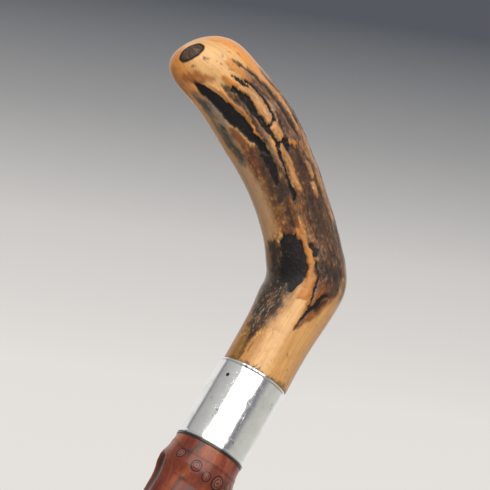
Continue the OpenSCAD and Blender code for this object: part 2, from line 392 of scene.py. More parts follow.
studio = {
    "floorSize": 24.0, "floorColour": (0.80, 0.80, 0.79), "floorGlow": 0.66, "floorClear": (0.3, 2.4),
    "backdropAway": 1.1, "backdropRadius": 0.62,
    "backdropTop": (86, 90, 96), "backdropBottom": (230, 226, 222), "paleColour": (0.80, 0.80, 0.80),
    "keySize": (1.7, 1.5), "keyAway": 1.25, "keyTurn": -6.0, "keyLift": 24.0, "keyPower": 19.0,
    "fillSize": 1.2, "fillAway": 1.6, "fillTurn": 85.0, "fillLift": 30.0, "fillPower": 4.0,
    "ambient": 0.26,
}
handleMiddle = Vector((-0.03, 0, collarTop + 0.045))


def makeFloor():
    deselectAll()
    bpy.ops.mesh.primitive_circle_add(vertices=96, radius=studio["floorSize"] / 2, fill_type="NGON")
    floor = namedPiece("studioFloor")
    material, wiring, shader = newMaterial("paleFloor", Roughness=0.6)
    place = wiring.objectPlace()
    cloud = wiring.noise(place, 3.0, 3.0)
    wiring.feed(shader.inputs["Base Color"], wiring.blend(cloud, studio["floorColour"], (0.84, 0.84, 0.83)))
    # away from the cane the camera sees the floor as pale as the room, and near it the shadows stay
    span = wiring.node("ShaderNodeVectorMath", operation="LENGTH")
    wiring.feed(span.inputs[0], place)
    far = wiring.remap(span.outputs["Value"], *studio["floorClear"], 0.0, studio["floorGlow"])
    seen = wiring.node("ShaderNodeLightPath").outputs["Is Camera Ray"]
    shader.inputs["Emission Color"].default_value = (*studio["paleColour"], 1)
    wiring.feed(shader.inputs["Emission Strength"], wiring.times(far, seen))
    floor.data.materials.append(material)


def makeBackdrop():
    # a glowing card with painted shade, darker towards the top; seen by the camera only, from the front, and
    # fading to the pale room at its rim
    deselectAll()
    spot = aim - viewBack * studio["backdropAway"]
    turn = Matrix((viewRight, viewUp, viewBack)).transposed().to_euler()
    bpy.ops.mesh.primitive_circle_add(vertices=64, radius=studio["backdropRadius"], fill_type="NGON",
                                      location=spot, rotation=turn)
    backdrop = namedPiece("studioBackdrop")
    material = bpy.data.materials.new("glowingShadedBackdrop")
    material.use_nodes = True
    wiring = Wiring(material.node_tree)
    material.node_tree.nodes.clear()
    place = wiring.objectPlace()
    parts = wiring.node("ShaderNodeSeparateXYZ")
    wiring.feed(parts.inputs[0], place)
    slanted = wiring.plus(parts.outputs["Y"], wiring.times(parts.outputs["X"], 0.14))
    height = wiring.remap(slanted, -0.30, 0.30, smooth=False)
    # painted shade: the card's colour runs from pale at the bottom to dark grey at the top
    bottom, top = toLinear(studio["backdropBottom"]), toLinear(studio["backdropTop"])
    stops = [(share, tuple(bottom * (1 - k) + top * k))
             for share, k in ((0.0, 0.0), (0.28, 0.03), (0.5, 0.27), (0.68, 0.68), (0.86, 1.0))]
    tone = wiring.ramp(height, stops)
    span = wiring.node("ShaderNodeVectorMath", operation="LENGTH")
    wiring.feed(span.inputs[0], place)
    rim = wiring.remap(span.outputs["Value"], 0.38, 0.60, 1.0, 0.0)
    glow = wiring.node("ShaderNodeEmission")
    wiring.feed(glow.inputs["Color"], tone)
    clear = wiring.node("ShaderNodeBsdfTransparent")
    seen = wiring.node("ShaderNodeLightPath").outputs["Is Camera Ray"]
    front = wiring.minus(1.0, wiring.node("ShaderNodeNewGeometry").outputs["Backfacing"])
    share = wiring.times(wiring.times(seen, front), rim)
    mixed = wiring.node("ShaderNodeMixShader")
    wiring.feed(mixed.inputs[0], share)
    wiring.feed(mixed.inputs[1], clear.outputs[0])
    wiring.feed(mixed.inputs[2], glow.outputs[0])
    wiring.feed(wiring.node("ShaderNodeOutputMaterial").inputs["Surface"], mixed.outputs[0])
    backdrop.data.materials.append(material)
    backdrop.visible_shadow = False


def makeLamp(name, size, away, turn, lift, power):
    # turn is measured around the cane from the camera's own direction
    bearing = math.radians(view["azimuth"] - 90 + turn)
    rise = math.radians(lift)
    out = Vector((math.cos(bearing) * math.cos(rise), math.sin(bearing) * math.cos(rise), math.sin(rise)))
    deselectAll()
    bpy.ops.object.light_add(type="AREA", location=handleMiddle + out * away)
    lamp = bpy.context.active_object
    lamp.name = name
    lamp.rotation_euler = out.to_track_quat("Z", "Y").to_euler()
    lamp.data.shape = "RECTANGLE"
    lamp.data.size, lamp.data.size_y = size
    lamp.data.energy = power
    lamp.visible_camera = False
    return lamp


def makeWorld():
    # a pale room: bands around the horizon for the silver to reflect, plain for the rest
    world = bpy.data.worlds.new("paleStudio")
    bpy.context.scene.world = world
    world.use_nodes = True
    tree = world.node_tree
    tree.nodes.clear()
    wiring = Wiring(tree)
    ray = wiring.node("ShaderNodeLightPath").outputs
    direction = wiring.node("ShaderNodeTexCoord").outputs["Generated"]
    parts = wiring.node("ShaderNodeSeparateXYZ")
    wiring.feed(parts.inputs[0], direction)
    bearing = wiring.maths("ARCTAN2", parts.outputs["Y"], parts.outputs["X"])
    turn = wiring.maths("DIVIDE", wiring.plus(bearing, math.radians(290)), 2 * math.pi)
    share = wiring.maths("FRACT", turn)
    bands = wiring.ramp(share, [(place, (tone, tone, tone * warm)) for place, tone, warm in roomBands])
    pale = studio["paleColour"]
    plain = wiring.blend(ray["Is Camera Ray"], (studio["ambient"],) * 3, pale)
    clear = wiring.blend(ray["Is Transmission Ray"], plain, pale)
    tone = wiring.blend(ray["Is Glossy Ray"], clear, bands)
    background = wiring.node("ShaderNodeBackground")
    wiring.feed(background.inputs["Color"], tone)
    wiring.feed(wiring.node("ShaderNodeOutputWorld").inputs["Surface"], background.outputs[0])


# place around the horizon (0.5 is where the camera stands), brightness and warmth
roomBands = [
    (0.00, 0.86, 1.00), (0.16, 0.80, 1.00), (0.19, 0.20, 1.05), (0.22, 0.40, 1.0), (0.30, 0.50, 0.99),
    (0.38, 0.62, 0.98), (0.575, 0.60, 1.0), (0.60, 0.20, 1.12), (0.63, 0.26, 1.10), (0.67, 0.52, 0.94),
    (0.84, 0.60, 0.93), (0.89, 0.80, 1.0), (1.0, 0.86, 1.0),
]
makeFloor()
makeBackdrop()
makeLamp("softKey", studio["keySize"], studio["keyAway"], studio["keyTurn"], studio["keyLift"],
         studio["keyPower"])
sideFill = makeLamp("sideFill", (studio["fillSize"],) * 2, studio["fillAway"], studio["fillTurn"],
                    studio["fillLift"], studio["fillPower"])
sideFill.visible_glossy = False
makeWorld()
bpy.context.scene.view_settings.view_transform = "Standard"
print("studio set up")

# Antler handle: a circle drawn out ring by ring along the bent centreline

handle = {
    "neckLength": 35.2, "elbowRadius": 12.6, "elbowAngle": 41.5, "elbowEase": 12.0,
    "armRadius": 116.5, "armAngle": 45.6, "sideShare": 0.94, "neckShift": 0.5,
    "radii": (12.5, 12.8, 14.6, 13.3, 13.4, 14.3, 13.9, 18.9),
    "noseLength": 30.0, "noseFullness": 2.3, "noseTilt": 22.0,
    "tenonRadius": 11.8, "tenonDepth": 15.0, "around": 56, "bodyRings": 70, "noseRings": 17,
}
elbowLength = handle["elbowRadius"] * math.radians(handle["elbowAngle"])
armLength = handle["armRadius"] * math.radians(handle["armAngle"])
handleLength = handle["neckLength"] + elbowLength + armLength


def leanAt(s):
    past = s - handle["neckLength"]
    if past < 0:
        return 0.0
    if past < elbowLength:
        return handle["elbowAngle"] * past / elbowLength
    return handle["elbowAngle"] + handle["armAngle"] * (past - elbowLength) / armLength


def centreAt(s):
    lean, elbow = math.radians(leanAt(s)), math.radians(handle["elbowAngle"])
    if s < handle["neckLength"]:
        return 0.0, s
    inner = min(lean, elbow)
    x = -handle["elbowRadius"] * (1 - math.cos(inner))
    z = handle["neckLength"] + handle["elbowRadius"] * math.sin(inner)
    if lean > elbow:
        x += handle["armRadius"] * (math.cos(lean) - math.cos(elbow))
        z += handle["armRadius"] * (math.sin(lean) - math.sin(elbow))
    return x, z


def ringLeanAt(s):
    # rings turn through the elbow more slowly than the centreline, so they never cross
    start = handle["neckLength"] - handle["elbowEase"]
    end = handle["neckLength"] + elbowLength + handle["elbowEase"]
    if s < start:
        return 0.0
    if s < end:
        return leanAt(end) * (s - start) / (end - start)
    return leanAt(s)


def bodyRadiusAt(s):
    radii, steps = handle["radii"], len(handle["radii"]) - 1
    x = steps * s / handleLength
    i = min(steps - 1, int(x))
    f = x - i
    a, b, c, d = (radii[max(0, min(steps, k))] for k in (i - 1, i, i + 1, i + 2))
    return b + f / 2 * (c - a + f * (2 * a - 5 * b + 4 * c - d + f * (3 * (b - c) + d - a)))


def ringAt(s):
    # centre, lean in degrees, radius and the share of it sideways
    share = max(0.0, (s - handleLength + handle["noseLength"]) / handle["noseLength"])
    closing = max(0.0, 1 - share ** handle["noseFullness"]) ** (1 / handle["noseFullness"])
    foot = max(0.0, 1 - s / handle["neckLength"]) ** 2
    side = handle["sideShare"] + (1 - handle["sideShare"]) * foot
    x, z = centreAt(s)
    return (x + handle["neckShift"] * foot, z, ringLeanAt(s) - handle["noseTilt"] * share,
            bodyRadiusAt(s) * closing, side)


def handleRings():
    bodyEnd = handleLength - handle["noseLength"]
    count, nose = handle["bodyRings"], handle["noseRings"]
    places = [0.35] + [bodyEnd * i / count for i in range(1, count + 1)]
    places += [bodyEnd + handle["noseLength"] * math.sin(math.pi / 2 * i / nose) for i in range(1, nose)]
    tenon = [(0.0, z, 0.0, handle["tenonRadius"], 1.0) for z in (-handle["tenonDepth"], -14.0, -1.2, -0.15)]
    foot = [(0.35, 0.0, 0.0, 12.25, 1.0)]
    spots = [-handle["tenonDepth"], -14.0, -1.2, -0.15, 0.0] + places
    return spots, tenon + foot + [ringAt(s) for s in places]


def drawHandle():
    spots, rings = handleRings()
    x, z, lean, radius, side = rings[0]
    deselectAll()
    bpy.ops.mesh.primitive_circle_add(vertices=handle["around"], radius=radius * mm, fill_type="NGON",
                                      location=(0, 0, 0))
    horn = namedPiece("antlerHandle")
    bpy.ops.object.mode_set(mode="EDIT")
    bpy.ops.mesh.select_all(action="SELECT")
    bpy.ops.transform.translate(value=(x * mm, 0, collarTop + z * mm))
    for (x0, z0, lean0, r0, side0), (x1, z1, lean1, r1, side1) in zip(rings[:-1], rings[1:]):
        step = ((x1 - x0) * mm, 0, (z1 - z0) * mm)
        bpy.ops.mesh.extrude_region_move(TRANSFORM_OT_translate={"value": step})
        middle = (x1 * mm, 0, collarTop + z1 * mm)
        if abs(lean1 - lean0) > 1e-6:
            bpy.ops.transform.rotate(value=math.radians(lean1 - lean0), orient_axis="Y",
                                     center_override=middle)
        grow = r1 / r0
        bpy.ops.transform.resize(value=(grow, grow * side1 / side0, grow), center_override=middle)
    tipX, tipZ = centreAt(handleLength)
    bpy.ops.mesh.extrude_region_move()
    bpy.ops.mesh.merge(type="CENTER")
    bpy.ops.object.mode_set(mode="OBJECT")
    print("handle drawn with", len(horn.data.vertices), "corners, nose tip meant at", round(tipX, 2),
          round(tipZ, 2))
    return horn, spots, rings


def placeAlongHandle(horn, spots, rings):
    # length along the handle and the turn around it, found from the ring each corner lies on
    places = vertexPlaces(horn)
    x, y, z = places[:, 0] / mm, places[:, 1] / mm, (places[:, 2] - collarTop) / mm
    best = np.full(len(places), 1e9)
    along, cosine, sine = np.zeros(len(places)), np.zeros(len(places)), np.zeros(len(places))
    for s, (cx, cz, lean, radius, side) in zip(spots, rings):
        turn = math.radians(lean)
        across = (x - cx) * math.cos(turn) + (z - cz) * math.sin(turn)
        off = np.abs((z - cz) * math.cos(turn) - (x - cx) * math.sin(turn))
        miss = off + np.abs(np.hypot(across, y / side) - radius)
        nearer = miss < best
        best[nearer] = miss[nearer]
        along[nearer] = s
        cosine[nearer] = (across / radius)[nearer]
        sine[nearer] = (-y / side / radius)[nearer]
    print("corners lie on their rings within", round(float(np.sort(best)[-3]), 4), "mm")
    tip = np.argmax(best)
    along[tip], cosine[tip], sine[tip] = handleLength, 0, 0
    return np.stack([along, cosine, sine], 1)


horn, hornSpots, hornRings = drawHandle()
writeVector(horn, "hornPlace", placeAlongHandle(horn, hornSpots, hornRings))
applyModifier(horn, "SUBSURF", levels=2, render_levels=2)
tidyMesh(horn, 0.000001)
hornPlace = np.empty(len(horn.data.vertices) * 3)
horn.data.attributes["hornPlace"].data.foreach_get("vector", hornPlace)
hornPlace = hornPlace.reshape(-1, 3)
hornS = hornPlace[:, 0]
hornDeg = np.degrees(np.arctan2(hornPlace[:, 2], hornPlace[:, 1]))
hornMm = (vertexPlaces(horn) - np.array([0, 0, collarTop])) / mm
print("handle smoothed to", len(horn.data.polygons), "faces")


# Colours of the antler as the eye sees them, 0 to 255

hornTones = {
    "tan": (204, 146, 84), "honey": (220, 164, 100), "peach": (238, 184, 120), "gold": (184, 124, 52),
    "orange": (222, 142, 62), "amber": (166, 92, 32), "burnt": (128, 74, 28), "strip": (200, 124, 44),
    "ridge": (206, 144, 84), "rose": (150, 108, 84), "rust": (124, 66, 30), "mauve": (112, 72, 46),
    "umber": (86, 50, 27), "flame": (70, 36, 18), "ash": (150, 132, 116), "slate": (94, 80, 70),
    "grey": (106, 93, 80), "shade": (52, 37, 28), "soot": (28, 18, 13), "pitch": (10, 7, 6),
    "crack": (84, 62, 44), "pith": (88, 70, 56), "blush": (190, 150, 112), "pinkish": (146, 106, 78),
    "dusk": (58, 43, 34), "olive": (140, 102, 40), "char": (52, 34, 21), "lichen": (58, 53, 45),
}

# Marks on the photographed side: tone, strength, height in mm, half width in mm (one, or one for each
# point), softness, and points as length along the handle in mm and turn around it in degrees, where 0 is
# the outer side, 90 faces the viewer and 180 is the inner side

hornMarks = [
    # neck
    ("honey", 0.7, 0, 8.0, 0.9, [(0, 58), (12, 60), (26, 58)]),
    # painted highlight: a lighter peach band down the front of the neck, on the side facing the key light
    ("peach", 0.9, 0, (3.2, 3.0, 2.4, 1.2), 0.8, [(0, 110), (12, 110), (22, 108), (31, 105)]),
    ("gold", 0.95, 0, 4.8, 0.7, [(0, 172), (13, 168)]),
    ("olive", 0.8, 0, (2.4, 1.4), 0.8, [(1, 163), (9, 163)]),
    ("gold", 0.6, 0, 6.0, 0.9, [(0, 204), (20, 208), (40, 210)]),
    ("amber", 0.35, 0, (2.0, 3.0), 0.9, [(2, 30), (30, 34)]),
    ("olive", 0.9, 0, 0.9, 0.9, [(0.3, 20), (0.5, 60), (0.6, 84)]),
    ("umber", 0.8, 0, 0.4, 0.9, [(0.3, 84), (0.3, 150), (0.3, 200)]),
    # pearled grey inside the elbow, and painted reflection: a grey sheen along its inner outline
    ("dusk", 0.97, -0.05, (1.4, 4.0, 6.2, 7.2, 7.4), 0.3,
     [(11.5, 151), (16, 153), (22, 155), (29, 157), (38, 156)]),
    # painted reflection: a slate-grey sheen along the inner side of the elbow, at its outline
    ("slate", 0.75, 0, (2.0, 3.0, 4.0, 4.2), 0.7, [(22, 186), (31, 184), (42, 178), (52, 174)]),
    ("umber", 0.8, -0.15, (0.5, 0.7, 0.9, 1.2), 0.5, [(0.5, 151), (4, 150), (7, 153), (12, 152)]),
    ("crack", 0.9, -0.25, 0.25, 0.4, [(0, 156), (5, 155), (9, 157), (14, 160)]),
    # black patch of the elbow
    ("shade", 0.92, -0.1, (2.6, 5.0, 4.6, 3.0), 0.4, [(34, 150), (41, 153), (48, 156), (55, 166)]),
    ("pitch", 0.98, -0.3, (1.0, 3.2, 4.4, 4.2, 3.4, 1.4), 0.3,
     [(33, 127), (39, 132), (45, 129), (51, 130), (56, 134), (60.5, 136)]),
    ("pitch", 0.9, -0.2, (1.4, 2.6, 1.4), 0.4, [(37, 146), (43, 147), (49, 145)]),
    ("amber", 0.7, 0.1, 0.5, 0.6, [(58, 124), (62, 131), (61, 142)]),
    # brown flame on the neck
    ("rust", 0.85, -0.05, (0.5, 1.9, 3.0, 4.3, 4.8), 0.4,
     [(19.5, 92), (25, 85), (30, 81), (35, 79), (41, 78)]),
    ("umber", 0.85, -0.1, (0.7, 1.3, 2.2, 2.8), 0.5, [(24, 88), (29, 82), (34, 75), (40, 72)]),
    ("amber", 0.8, 0.05, (0.4, 0.8, 0.5), 0.5, [(26, 93), (30, 98), (34, 104)]),
    ("flame", 0.95, -0.15, (0.5, 0.8, 1.3, 1.5, 1.6, 1.3), 0.4,
     [(20, 93), (24, 91), (28, 86), (32, 79), (35, 71), (39, 64)]),
    ("soot", 0.95, -0.25, (0.3, 0.6, 0.7, 0.7, 0.6), 0.35,
     [(23, 92), (27, 89), (30, 85), (33, 79), (35, 74)]),
    ("soot", 0.95, -0.25, (0.35, 0.5, 0.7, 0.7, 0.5), 0.35,
     [(28, 91), (32, 95), (36, 101), (41, 101), (46, 99)]),
    ("amber", 0.97, 0.15, (0.8, 1.4, 1.1), 0.35, [(33, 90), (36, 87), (38.5, 83)]),
    ("amber", 0.9, 0.1, 0.7, 0.4, [(38.5, 76), (39.2, 68)]),
    ("amber", 0.85, 0.05, 0.5, 0.5, [(25, 85), (28, 80)]),
    ("shade", 0.6, 0, 2.0, 0.9, [(36, 37), (38, 42)]),
    # orange strip through the elbow and the dark field beyond it
    ("strip", 0.97, 0.35, (1.2, 1.6, 1.2, 1.0, 1.2, 1.6), 0.3,
     [(31, 108), (38, 108), (45, 107), (50, 108), (56, 112), (62, 118)]),
    ("burnt", 0.95, 0.1, (2.4, 4.2, 4.4, 3.8, 2.4), 0.5,
     [(61, 132), (67, 133), (74, 136), (83, 139), (92, 143)]),
    ("char", 0.88, -0.15, (1.8, 3.6, 4.0, 3.4, 2.2), 0.6,
     [(62, 122), (69, 121), (77, 122), (86, 126), (93, 128)]),
    ("amber", 0.6, 0.05, (1.0, 1.2, 0.8), 0.5, [(60, 117), (67, 117), (72, 114)]),
    ("blush", 0.9, 0, (3.0, 4.4, 4.6, 3.6), 0.7, [(61, 170), (70, 172), (80, 172), (88, 174)]),
    ("blush", 0.8, 0, (3.0, 4.0, 3.0), 0.8, [(62, 194), (78, 196), (92, 196)]),
    # mottled field on the outer side
    ("mauve", 0.95, 0, (3.6, 7.0, 8.0, 8.0, 7.4, 5.6), 0.35,
     [(39, 72), (48, 68), (58, 68), (72, 68), (86, 66), (96, 62)]),
    ("ridge", 0.7, 0.15, (1.6, 2.4, 2.4, 2.0), 0.7, [(60, 44), (70, 46), (80, 45), (91, 48)]),
    ("umber", 0.85, -0.15, (1.6, 2.4, 2.0, 1.6), 0.6, [(56, 76), (66, 80), (78, 82), (88, 80)]),
    ("shade", 0.9, -0.25, (1.6, 2.2, 2.4), 0.45, [(42.5, 60), (43, 78), (43, 96)]),
    ("shade", 0.8, -0.2, 1.2, 0.5, [(47, 62), (48, 71)]),
    ("soot", 0.95, -0.35, (0.7, 1.3, 0.8), 0.35, [(48.5, 100), (50.5, 97), (53, 104)]),
    ("soot", 0.8, -0.25, 0.5, 0.4, [(55, 92), (61, 95), (66, 94)]),
    ("shade", 0.8, -0.2, 0.9, 0.5, [(60, 80), (64, 84), (69, 82)]),
    ("shade", 0.8, -0.2, 0.8, 0.5, [(78, 72), (83, 76), (88, 73)]),
    ("shade", 0.75, -0.2, 0.6, 0.5, [(66, 60), (71, 58), (77, 60)]),
    ("burnt", 0.8, 0.3, (1.0, 1.4, 1.5, 1.2), 0.4, [(54, 96), (60, 99), (67, 101), (74, 98)]),
    ("ridge", 0.85, 0.3, 1.0, 0.5, [(69, 68), (73, 70)]),
    ("ridge", 0.85, 0.3, 0.9, 0.5, [(76, 64), (80, 66)]),
    ("ridge", 0.6, 0.2, 0.8, 0.5, [(82, 58), (87, 60)]),
    ("ridge", 0.95, 0.5, (0.8, 1.1, 1.2, 1.0), 0.3, [(73, 97), (80, 96), (86, 95), (90, 97)]),
    # pinkish underside
    ("grey", 0.92, 0, (1.6, 3.0, 3.2, 3.0, 2.2), 0.5,
     [(90, 162), (98, 162), (106, 162), (114, 162), (121, 165)]),
    ("lichen", 0.8, -0.1, (0.8, 1.9, 1.8, 0.8), 0.5, [(92, 160), (96, 165), (101, 165), (106, 162)]),
    ("lichen", 0.7, -0.1, (0.8, 1.3, 0.9), 0.5, [(114, 162), (117, 165), (120, 168)]),
    ("ash", 0.7, 0.05, 1.0, 0.6, [(107, 153), (114, 155)]),
    ("rust", 0.85, -0.1, (1.0, 1.6, 1.4, 1.0), 0.4, [(86, 140), (92, 139), (98, 142), (104, 148)]),
    ("shade", 0.85, -0.15, 0.4, 0.4, [(92, 152), (95, 158), (98, 161)]),
    ("shade", 0.85, -0.15, 0.5, 0.5, [(105, 158), (107.5, 159)]),
    # first channel and the ridges beside it
    ("char", 0.9, -0.2, (0.8, 1.2, 1.4, 1.6, 1.2), 0.4,
     [(92, 112), (98, 111), (104, 112), (110, 112), (118, 117)]),
    ("pitch", 0.97, -0.6, (0.9, 0.8, 0.35, 0.4, 0.6), 0.3,
     [(71, 107), (74, 108), (79, 107), (85, 104), (91, 100)]),
    ("rose", 0.95, 0.45, (0.4, 0.6, 0.7, 0.7, 0.4), 0.35,
     [(80, 109), (86, 110), (93, 110), (99, 108), (105, 107)]),
    ("strip", 0.85, 0.5, (0.3, 0.5, 0.55, 0.5, 0.6, 0.4), 0.35,
     [(95, 114), (99, 118), (104, 117), (108, 118), (114, 123), (121, 131)]),
    ("pitch", 0.97, -0.7, (0.7, 0.7, 0.8, 1.1, 1.2, 0.9, 0.4), 0.28,
     [(91, 99), (96, 99), (101, 102), (105, 104), (110, 103), (114, 104), (117, 109)]),
    # main black channel
    ("pitch", 0.85, -0.3, (0.6, 1.4, 1.5, 1.2), 0.4, [(78, 124), (84, 122), (90, 123), (94, 123)]),
    ("pitch", 0.99, -1.0, (1.1, 1.4, 1.7, 2.5, 2.7, 2.4, 2.2, 1.0), 0.22,
     [(91, 122), (96, 123), (100, 128), (105, 132), (110, 136.5), (115, 141), (120, 146), (124.5, 147)]),
    # knob, spots and tan ridges towards the nose
    ("strip", 0.95, 0.35, (0.8, 1.1), 0.4, [(87.5, 72), (89, 79)]),
    ("pitch", 0.97, -0.5, (0.5, 0.9, 0.6), 0.35, [(86.5, 86), (89.5, 86), (91.5, 82)]),
    ("pitch", 0.95, -0.5, 0.5, 0.35, [(90, 80), (90.6, 90), (90.4, 98)]),
    ("ridge", 0.98, 0.5, (1.0, 1.6, 1.5, 0.8), 0.3, [(91.8, 92), (94, 90), (96.5, 87), (98, 83)]),
    ("pitch", 0.95, -0.6, 0.5, 0.35, [(97.4, 97), (98.2, 91), (99.4, 84), (101, 81)]),
    ("ridge", 0.98, 0.55, (1.0, 1.6, 1.75, 1.5, 1.1), 0.25,
     [(99.6, 93), (103, 91), (108, 91), (112.5, 91), (116, 96)]),
    ("peach", 0.7, 0.1, (0.3, 0.5, 0.3), 0.5, [(102, 91), (107, 90), (112, 91)]),
    ("orange", 0.9, 0.3, (0.9, 1.3, 1.3), 0.5, [(115, 80), (119, 83), (125, 85)]),
    ("strip", 0.95, 0.3, (0.8, 1.2, 0.8), 0.4, [(116.5, 102), (119, 106), (121.5, 110)]),
    ("pitch", 0.95, -0.45, (0.4, 0.7, 0.6), 0.35, [(113.4, 87), (116.4, 92), (119.4, 98)]),
    ("soot", 0.9, -0.4, 0.5, 0.4, [(114.8, 108), (116, 112)]),
    # net of veins towards the nose
    ("rose", 0.75, 0, (2.4, 3.6, 3.4, 2.2), 0.5, [(92, 72), (101, 72), (110, 72), (117, 72)]),
    ("mauve", 0.8, -0.05, (0.9, 1.5, 1.0), 0.5, [(93, 73), (96, 76), (99, 73)]),
    ("mauve", 0.8, -0.05, (0.9, 1.7, 1.3), 0.5, [(104, 72), (108, 73), (113, 73)]),
    ("blush", 0.7, 0.2, 0.8, 0.6, [(101.5, 66), (102, 78)]),
    ("shade", 0.92, -0.4, (0.6, 0.9, 1.0, 1.0, 0.9, 0.7), 0.35,
     [(90, 60), (96, 62), (102, 62), (108, 62), (114, 64), (118.5, 68)]),
    ("soot", 0.9, -0.4, (0.5, 0.5, 0.5, 0.5, 0.4), 0.35,
     [(99, 84), (103, 83), (107, 81), (112, 80), (116, 85)]),
    ("shade", 0.9, -0.3, (0.5, 0.8, 0.5), 0.4, [(117.5, 69), (121, 73), (124, 79)]),
    ("shade", 0.85, -0.25, 0.35, 0.4, [(93, 82), (95, 78), (98, 79), (100, 76)]),
    ("shade", 0.8, -0.25, 0.35, 0.4, [(104, 66), (105.5, 72), (108, 76), (111, 75)]),
    ("ridge", 0.9, 0.35, (0.8, 1.2, 1.2, 1.1, 0.9), 0.4,
     [(93, 52), (99, 51), (106, 52), (112, 53), (119, 55)]),
    ("umber", 0.85, -0.3, (0.4, 0.5, 0.5, 0.4), 0.4, [(90, 43), (98, 44), (106, 45), (114, 44)]),
    ("pinkish", 0.8, 0, (1.4, 2.0, 1.6), 0.6, [(96, 36), (106, 37), (114, 40)]),
    ("umber", 0.8, -0.25, 0.4, 0.4, [(70, 33), (84, 30), (98, 29), (108, 31)]),
    ("umber", 0.7, -0.2, 0.35, 0.4, [(60, 26), (76, 23), (92, 22)]),
]
# Marks laid after the rest: nose, its freckles and loose specks
noseMarks = [
    ("orange", 0.9, 0, (3.6, 3.0, 2.6), 0.7, [(119, 46), (126, 50), (133, 54)]),
    ("orange", 0.95, 0, (3.4, 4.4, 4.0), 0.8, [(124, 178), (129, 172), (134, 168)]),
    ("umber", 0.35, 0, (1.5, 2.4, 1.8), 0.9, [(121, 184), (126, 178), (131, 172)]),
    ("gold", 0.5, 0, 2.6, 0.9, [(127, 200), (133, 200)]),
    # painted shade: amber and darker strokes along the nose's inner edge, where the light falls off
    ("amber", 0.85, 0, (1.6, 2.2, 1.6), 0.7, [(123.5, 124), (126, 138), (127.5, 158)]),
    ("shade", 0.6, 0, (0.6, 0.9), 0.8, [(123.5, 138), (125.5, 152)]),
    ("flame", 0.8, -0.1, 0.4, 0.6, [(129, 106), (129.8, 110)]),
    ("flame", 0.8, -0.1, 0.4, 0.6, [(129.3, 129), (129.9, 133)]),
    ("flame", 0.7, -0.1, 0.3, 0.5, [(127, 70), (127.4, 72)]),
    ("umber", 0.6, 0, 0.4, 0.6, [(124, 62), (125, 63)]),
    ("umber", 0.6, 0, 0.3, 0.6, [(126, 96), (126.3, 97)]),
    ("umber", 0.6, 0, 0.35, 0.6, [(121.5, 92), (122, 94)]),
    ("umber", 0.6, 0, 0.3, 0.6, [(128, 84), (128.4, 86)]),
    ("umber", 0.55, 0, 0.3, 0.6, [(6, 66), (6.5, 67)]),
    ("umber", 0.55, 0, 0.3, 0.6, [(3, 48), (4, 50)]),
    ("umber", 0.6, 0, 0.35, 0.6, [(10, 80), (10.4, 81)]),
    ("umber", 0.6, 0, 0.35, 0.6, [(5, 141), (8, 140)]),
    ("umber", 0.5, 0, 0.3, 0.6, [(15, 120), (15.5, 121)]),
]
pithOval = {
    "middle": (-83.7, -7.3, 78.9), "long": (1.85, -2.25, 3.55), "short": (1.2, -2.05, -1.65),
}
hornWorks = {
    "degreeLength": 0.236, "warp": 0.8, "fineWarp": 0.4, "streakWarp": 1.3, "raggedness": 0.8,
    "backMarks": 46, "backRidges": 26, "seed": 4,
}


def strokeShare(s, deg, points, halves, soft):
    # 1 along the stroke, falling to 0 past its half width
    total = np.zeros(len(s))
    count = len(points)
    if not isinstance(halves, tuple):
        halves = (halves,) * count
    halves = np.interp(np.linspace(0, 1, count), np.linspace(0, 1, len(halves)), halves)
    for i in range(count - 1):
        (s0, d0), (s1, d1) = points[i], points[i + 1]
        along, across = s1 - s0, (d1 - d0) * hornWorks["degreeLength"]
        px = s - s0
        py = ((deg - d0 + 180) % 360 - 180) * hornWorks["degreeLength"]
        t = np.clip((px * along + py * across) / max(along ** 2 + across ** 2, 1e-9), 0, 1)
        gap = np.hypot(px - t * along, py - t * across)
        half = halves[i] + (halves[i + 1] - halves[i]) * t
        total = np.maximum(total, 1 - smoothStep(half * (1 - soft), half * (1 + soft), gap))
    return total


# Tones of rubbed, smooth ridges, where the bark's veins and grains fade
smoothTones = ("ridge", "peach", "strip", "orange", "honey", "tan", "rose", "grey", "ash", "lichen")


class HornPaint:
    # colour, height, darkness and stipple of the antler, built up mark by mark
    def __init__(self):
        self.noise = SoftNoise(11)
        broad, fine = hornWorks["warp"], hornWorks["fineWarp"]
        self.s = hornS + self.noise.at(hornMm, 5.0) * broad + self.noise.at(hornMm + 50, 1.2, 2) * fine
        threads = np.stack([hornS / 7.0, hornDeg * hornWorks["degreeLength"] / 0.75, hornS * 0], 1)
        self.s = self.s + self.noise.at(threads, 1.0, 2) * hornWorks["streakWarp"]
        shift = self.noise.at(hornMm + 90, 4.0) * broad + self.noise.at(hornMm + 140, 1.0, 2) * fine
        self.deg = hornDeg + shift / hornWorks["degreeLength"]
        self.rough = self.noise.at(hornMm + 200, 1.6, 3)
        self.tone = np.tile(toLinear(hornTones["tan"]), (len(hornS), 1))
        self.height = np.zeros(len(hornS))
        self.dark = np.zeros(len(hornS))
        self.stipple = np.zeros(len(hornS))
        self.smooth = np.zeros(len(hornS))

    def lay(self, tone, share):
        target = toLinear(hornTones[tone])
        self.tone += (target - self.tone) * share[:, None]
        darkness = {"pitch": 1.0, "soot": 0.9, "shade": 0.55, "char": 0.5, "flame": 0.5}.get(tone, 0.0)
        self.dark += (darkness - self.dark) * share
        self.smooth += (float(tone in smoothTones) - self.smooth) * share

    def mark(self, tone, strength, height, halves, soft, points):
        low, high = min(p[0] for p in points) - 9, max(p[0] for p in points) + 9
        near = np.nonzero((self.s > low) & (self.s < high))[0]
        share = strokeShare(self.s[near], self.deg[near], points, halves, soft)
        if soft > 0.25:
            ragged = share * (1 + hornWorks["raggedness"] * self.rough[near])
            share = np.clip(ragged, 0, 1)
        whole = np.zeros(len(hornS))
        whole[near] = share * strength
        self.lay(tone, whole)
        self.height[near] = self.height[near] * (1 - share * 0.6) + height * share


